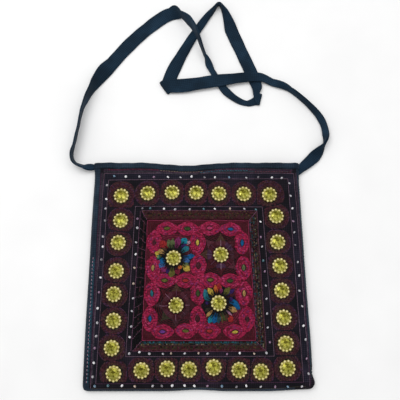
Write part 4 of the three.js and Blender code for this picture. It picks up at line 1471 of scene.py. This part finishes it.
def make_flowers():
    batch = Batch()
    for cell, leaves in FLOWERS.items():
        for heading, start, end, half, colour, bend in leaves:
            rise = LEAF.rise + LEAF.by_width * half
            facts = (start, end, LEAF.spread * half)
            colours = thread(colour, LEAF.base), thread(colour, LEAF.tip)
            leaf(batch, CENTRE_GEMS[cell], heading, facts, colours, petal_shape, rise, bend, vein=True)
    scatter = random.Random(SEEDS.rays)
    turn = 360 / STAR.points
    facts = (STAR.start, STAR.end, STAR.half)
    for cell, points in STARS.items():
        centre = CENTRE_GEMS[cell]
        for k, (base, tip, end, colour) in enumerate(points):
            colours = thread(base, STAR.tone), thread(tip, STAR.tone)
            leaf(batch, centre, turn * k, facts, colours, star_shape, STAR.rise)
            ray_line(batch, centre, turn * k, end, colour, RAY.along)
            end = scatter.uniform(*RAY.end)
            ray_line(batch, centre, turn * (k + 0.5), end, RAY.shade, RAY.between)
    batch.build("flower_stitches")


# Lines of stitching along the frame strips, from the outer edge to the inner one, with the shades of each
SPECKLED = ("plum", "brown", "ochre", "black", "maroon", "wine", "moss")
DOTTED = ("plum", "putty", "moss", "black", "ochre", "ash")
# How the lines share a strip's width: the first line's place, the room beyond the last, and their overlap
STRIP = Facts(stitch=1.5, first=0.6, rest=0.2, full=1.2)
STRIP_LINES = {
    "top": [SPECKLED, ("plum", "wine"), SPECKLED, ("maroon", "moss"), SPECKLED, ("wine", "brown"), SPECKLED,
            ("maroon",)],
    "right": [("plum", "raisin"), ("moss", "plum", "black"), DOTTED, ("black", "plum", "slate"), DOTTED,
              SPECKLED, ("wine", "black", "slate"), ("plum", "slate", "mauve")],
    "bottom": [("maroon", "wine"), ("plum", "brown", "wine"), ("maroon", "moss"), SPECKLED, ("plum", "moss"),
               DOTTED, ("slate", "moss"), ("slate", "teal", "black", "slate")],
    "left": [("black",), ("black",), ("plum", "black"), ("black",), ("black",)],
}
# Thin lines along the strips, over their mitred corners and inside the patch: radius, shade and stitch
EDGE_LINE, MITRE_LINE, PATCH_LINE = (0.34, "mauve", 2.6), (0.5, "mauve", 2.8), (0.45, "blush", 2.2)
MITRE_LIFT, PATCH_LINE_LIFT, PATCH_LINE_MARGIN = 0.2, 0.1, 0.9
# The ladder on the left strip: its rail lies outside, and its rungs climb from the cloth on to the strip
LADDER = Facts(out=2.2, rail=(0.36, "mauve", 2.6), step=12.6, rungs=(0.06, 0.96), slant=(-2.5, 1.5),
               stitch=2.7, fine=0.9, low=0.15, lift=0.6, climb=0.3)


def line_of(batch, path, facts, lift=0.0):
    """A line of chain stitch from its radius, shade and length of a stitch."""
    radius, colour, stitch = facts
    chain_line(batch, path, radius, thread(colour), stitch, lift)


def make_ladder(batch):
    """Thin pale lines over the left strip: a rail beside it, and rungs across."""
    outer_b, outer_a, inner_a, inner_b = strip_corners(SIDES.index("left"))
    away = np.array((-LADDER.out, 0))
    line_of(batch, [outer_a + away, outer_b + away], LADDER.rail)
    radius, colour, _ = LADDER.rail
    scatter = random.Random(SEEDS.ladder)
    long = np.linalg.norm(outer_b - outer_a)
    for at in np.arange(*LADDER.rungs, LADDER.step / long):
        slant = scatter.uniform(*LADDER.slant) / long
        start, end = outer_a + (outer_b - outer_a) * at, inner_a + (inner_b - inner_a) * (at + slant)
        path, along = resample([start + away, start, end], LADDER.fine)
        lift = LADDER.low + (PATCH_TOP + LADDER.lift) * smooth(along, LADDER.climb * LADDER.out, LADDER.out)
        lay(batch, path, lift, radius * plump(along, LADDER.stitch), thread(colour))


def make_strip_lines():
    batch = Batch()
    scatter = random.Random(SEEDS.strips)
    for k, side in enumerate(SIDES):
        outer_a, outer_b, inner_b, inner_a = strip_corners(k)
        lines = STRIP_LINES[side]
        room = len(lines) + STRIP.rest
        for line, shades in enumerate(lines):
            share = (line + STRIP.first) / room
            start, end = outer_a + (inner_a - outer_a) * share, outer_b + (inner_b - outer_b) * share
            wide = 0.5 * np.linalg.norm(inner_a - outer_a) / room / math.sqrt(2) * STRIP.full
            shaded_line(batch, [start, end], wide, shades, scatter, STRIP.stitch, PATCH_TOP)
        if side != "left":
            line_of(batch, [outer_a, outer_b], EDGE_LINE, PATCH_TOP)
    make_ladder(batch)
    for k, side in enumerate(sides(inset(PATCH, PATCH_LINE_MARGIN))):
        line_of(batch, [FRAME[k], PATCH[k]], MITRE_LINE, PATCH_TOP + MITRE_LIFT)
        line_of(batch, side, PATCH_LINE, PATCH_TOP + PATCH_LINE_LIFT)
    batch.build("strip_stitches")


# Lines either side of the bead bands
BAND = Facts(thread=0.38, stitch=2.4, shade="dusk", faint="grape")
# Rows of stitching along the margins: their ends, and each one's place inwards and shade. Those at the mouth
# have their place up the front, and bright lines over them: start, end, place and shade
ROW_THREAD, MOUTH_STITCH, MARGIN_STITCH = 0.45, 3.2, 3.0
MOUTH_ROWS = ((136.2, "ash"), (134.9, "grape"), (133.6, "ash"), (132.3, "ash"))
MOUTH_LINES = (
    (-121, -51, 135.9, "cerise"), (-51, 8, 135.6, "putty"), (2, 68, 134.3, "teal"), (28, 121, 133.0, "slate"),
    (22, 75, 136.0, "mauve"), (75, 125, 132.6, "cerise"),
)
MARGIN_ROWS = {
    "left": ((-137, 131), ((9.4, "grape"), (10.6, "ash"), (11.8, "ash"))),
    "right": ((-137, 131), ((3.0, "slate"), (4.3, "grape"), (5.5, "ash"))),
    "bottom": ((-131, 132), ((2.2, "plum"), (3.3, "moss"))),
}
# Ends of the mouth's rows, the hem's and the left margin's runs, and how nearly they follow the mouth's dip
SPAN = Facts(mouth=(-127, 126), hem=(-131, 126), runs=(-136, 20))
MOUTH_FOLLOW, HEM_FOLLOW, LINE_POINTS = 0.95, 0.98, 60
# Running stitches, over the mouth's rows and along the hem. Up the left margin: place inwards, radius, shade,
# length and gap
BRIGHT_RUN = Facts(radius=0.4, stitch=2.4, gap=1.2, lift=0.3)
HEM_RUN = Facts(radius=0.3, stitch=2.6, gap=1.4, lift=1.5, shade="slate", up=1.5)
LEFT_RUNS = ((4.6, 0.42, "pale", 2.4, 2.2), (5.9, 0.38, "teal", 2.8, 1.6))


def mouth_line(start, end, place, follow=MOUTH_FOLLOW):
    """A line along the mouth, drawn in nearly as far as its edge is."""
    x = np.linspace(start, end, LINE_POINTS)
    return np.column_stack([x, place - follow * drawn_in(MOUTH_DIPS, x)])


def margin_line(edge, span, off):
    """A line along another edge, a distance inside it."""
    at = np.linspace(*span, LINE_POINTS)
    if edge == "bottom":
        return np.column_stack([at, BOTTOM + drawn_in(BOTTOM_DIPS, at) + off])
    return np.column_stack([left_edge(at) + off if edge == "left" else right_edge(at) - off, at])


def make_band_lines():
    """Thin lines either side of the bead bands, and the lines of stitching along the bag's margins."""
    batch = Batch()
    for corners in (BAND_INNER, BAND_OUTER, INNER_LINE):
        for name, side in zip(SIDES, sides(corners)):
            faint = name == "bottom" and corners is not INNER_LINE
            chain_line(batch, side, BAND.thread, thread(BAND.faint if faint else BAND.shade), BAND.stitch)
    for place, colour in MOUTH_ROWS:
        chain_line(batch, mouth_line(*SPAN.mouth, place), ROW_THREAD, thread(colour), MOUTH_STITCH)
    run = BRIGHT_RUN
    for start, end, place, colour in MOUTH_LINES:
        path = mouth_line(start, end, place)
        running_line(batch, path, run.radius, thread(colour), run.stitch, run.gap, run.lift)
    for edge, (span, rows) in MARGIN_ROWS.items():
        for off, colour in rows:
            chain_line(batch, margin_line(edge, span, off), ROW_THREAD, thread(colour), MARGIN_STITCH)
    for off, radius, colour, stitch, gap in LEFT_RUNS:
        running_line(batch, margin_line("left", SPAN.runs, off), radius, thread(colour), stitch, gap)
    batch.build("band_stitches")


def make_hem_stitches():
    """The seam that holds the hem down."""
    batch = Batch()
    run = HEM_RUN
    path = mouth_line(*SPAN.hem, MOUTH - BINDING_REACH + run.up, HEM_FOLLOW)
    running_line(batch, path, run.radius, thread(run.shade), run.stitch, run.gap, run.lift)
    batch.build("hem_stitches")


# Seed beads along the two bands: first place, last place, where each lies between them in hundredths, and the
# letters of their glasses
OUTER_BEADS = [
    ((-112.8, 125.9), (110.7, 123.9), (0, 7, 15, 24, 32, 40, 46, 54, 60, 69, 79, 86, 94, 100),
     "bpsmpspdpbsdps"),
    ((121.1, 116.1), (135.3, -125.8), (0, 7, 14, 21, 27, 34, 43, 50, 58, 66, 76, 83, 92, 100),
     "sspmsdspsspsms"),
    ((-126.3, -139.1), (127.4, -139.1), (0, 6, 13, 19, 28, 32, 37, 43, 48, 54, 61, 68, 73, 80, 87, 93, 100),
     "bjptsdpppmbdpsmbs"),
    ((-121.1, 113.4), (-129.7, -128.1), (0, 8, 13, 20, 28, 34, 41, 50, 58, 66, 73, 80, 86, 93, 100),
     "spsdspdpmpssmps"),
]
INNER_BEADS = [
    ((-73.1, 80.8), (74.6, 80.6), (0, 7, 19, 29, 42, 54, 64, 78, 90, 100), "djpssjptsj"),
    ((80.7, 63.8), (88.2, -86.9), (0, 13, 21, 33, 42, 54, 65, 77, 88, 100), "pmsjmssssm"),
    ((-84.5, -100), (83.9, -100.5), (0, 7, 14, 24, 30, 40, 50, 57, 71, 80, 91, 100), "spsststsmpts"),
    ((-79.5, 69.1), (-85, -81.7), (0, 9, 21, 32, 43, 56, 68, 78, 91, 100), "msspttsssp"),
]
# A bead's section as radius and height, how high its middle lies, and its scatter in place, lean and size
BEAD_SECTION = [(0.5, 0.85), (1.05, 0.95), (1.5, 0.6), (1.6, 0), (1.5, -0.6), (1.05, -0.95), (0.5, -0.85)]
BEAD = Facts(round=12, high=1.35, drift=(-0.7, 0.7), aside=(-2, 2), up=(0.2, 0.9), size=(0.98, 1.16))


def bead_shape():
    """Points and faces of one bead about its upright hole."""
    angles = np.arange(BEAD.round) * 2 * np.pi / BEAD.round
    points = np.array([(r * math.cos(a), r * math.sin(a), z) for a in angles for r, z in BEAD_SECTION])
    count = len(BEAD_SECTION)
    faces = []
    for i in range(BEAD.round):
        near, far = i * count, (i + 1) % BEAD.round * count
        for k in range(count):
            after = (k + 1) % count
            faces.append((near + k, far + k, far + after, near + after))
    return points, faces


def make_beads(name, rows, seed):
    """Small glass beads sewn on their sides, with the scatter of real ones."""
    scatter = random.Random(seed)
    shape, faces = bead_shape()
    batch = Batch()
    for start, end, places, letters in rows:
        for place, letter in zip(places, letters):
            x, y = np.array(start) + (np.array(end) - np.array(start)) * place / 100
            x, y = x + scatter.uniform(*BEAD.drift), y + scatter.uniform(*BEAD.drift)
            lean = Vector((1, scatter.uniform(*BEAD.aside), scatter.uniform(*BEAD.up))).normalized()
            matrix = np.array(Vector((0, 0, 1)).rotation_difference(lean).to_matrix())
            middle, _ = on_front([(x, y)], BEAD.high)
            points = shape * scatter.uniform(*BEAD.size) @ matrix.T + middle
            batch.add(points, faces, materials[f"glass_{letter}"])
    batch.build(name)


# Whip stitches: path as distance outwards and height, lean along the seam, how far their backs face up, and
# the ends of their rows
WHIP_PATH = [(-1.2, 4.4), (0.1, 3.4), (0.25, 2.2), (0.1, 1.0), (-0.6, 0.25)]
WHIP = Facts(lean=0.35, thread=0.32, step=3.6, up=0.3, side=(-132, 116), bottom=(-130, 131))


def make_seam():
    """Whip stitches that close the side seams and the bottom one."""
    batch = Batch()
    places = []
    for y in np.arange(*WHIP.side, WHIP.step):
        places += [(left_edge(y), y, -1, 0), (right_edge(y), y, 1, 0)]
    for x in np.arange(*WHIP.bottom, WHIP.step):
        places.append((x, float(BOTTOM + drawn_in(BOTTOM_DIPS, x)), 0, -1))
    for x, y, out_x, out_y in places:
        out = np.array((out_x, out_y, 0.0))
        along = np.array((-out_y, out_x, 0.0))
        points = [np.array((x, y, z)) + out * a + along * WHIP.lean * z for a, z in WHIP_PATH]
        backs = np.tile(out + (0, 0, WHIP.up), (len(points), 1))
        tube(batch, points, backs, WHIP.thread, thread("midnight"))
    batch.build("seam_stitches")


def make_bag():
    for make in (make_front, make_back, make_hem, make_patches, make_gems, make_rings, make_fill, make_ovals,
                 make_flowers, make_strip_lines, make_band_lines, make_hem_stitches):
        make()
    make_beads("seed_beads_outer", OUTER_BEADS, SEEDS.outer_beads)
    make_beads("seed_beads_inner", INNER_BEADS, SEEDS.inner_beads)
    make_seam()


make_materials()
make_camera()
make_stage()
make_strap()
relief_grid = simulate_relief()
make_bag()
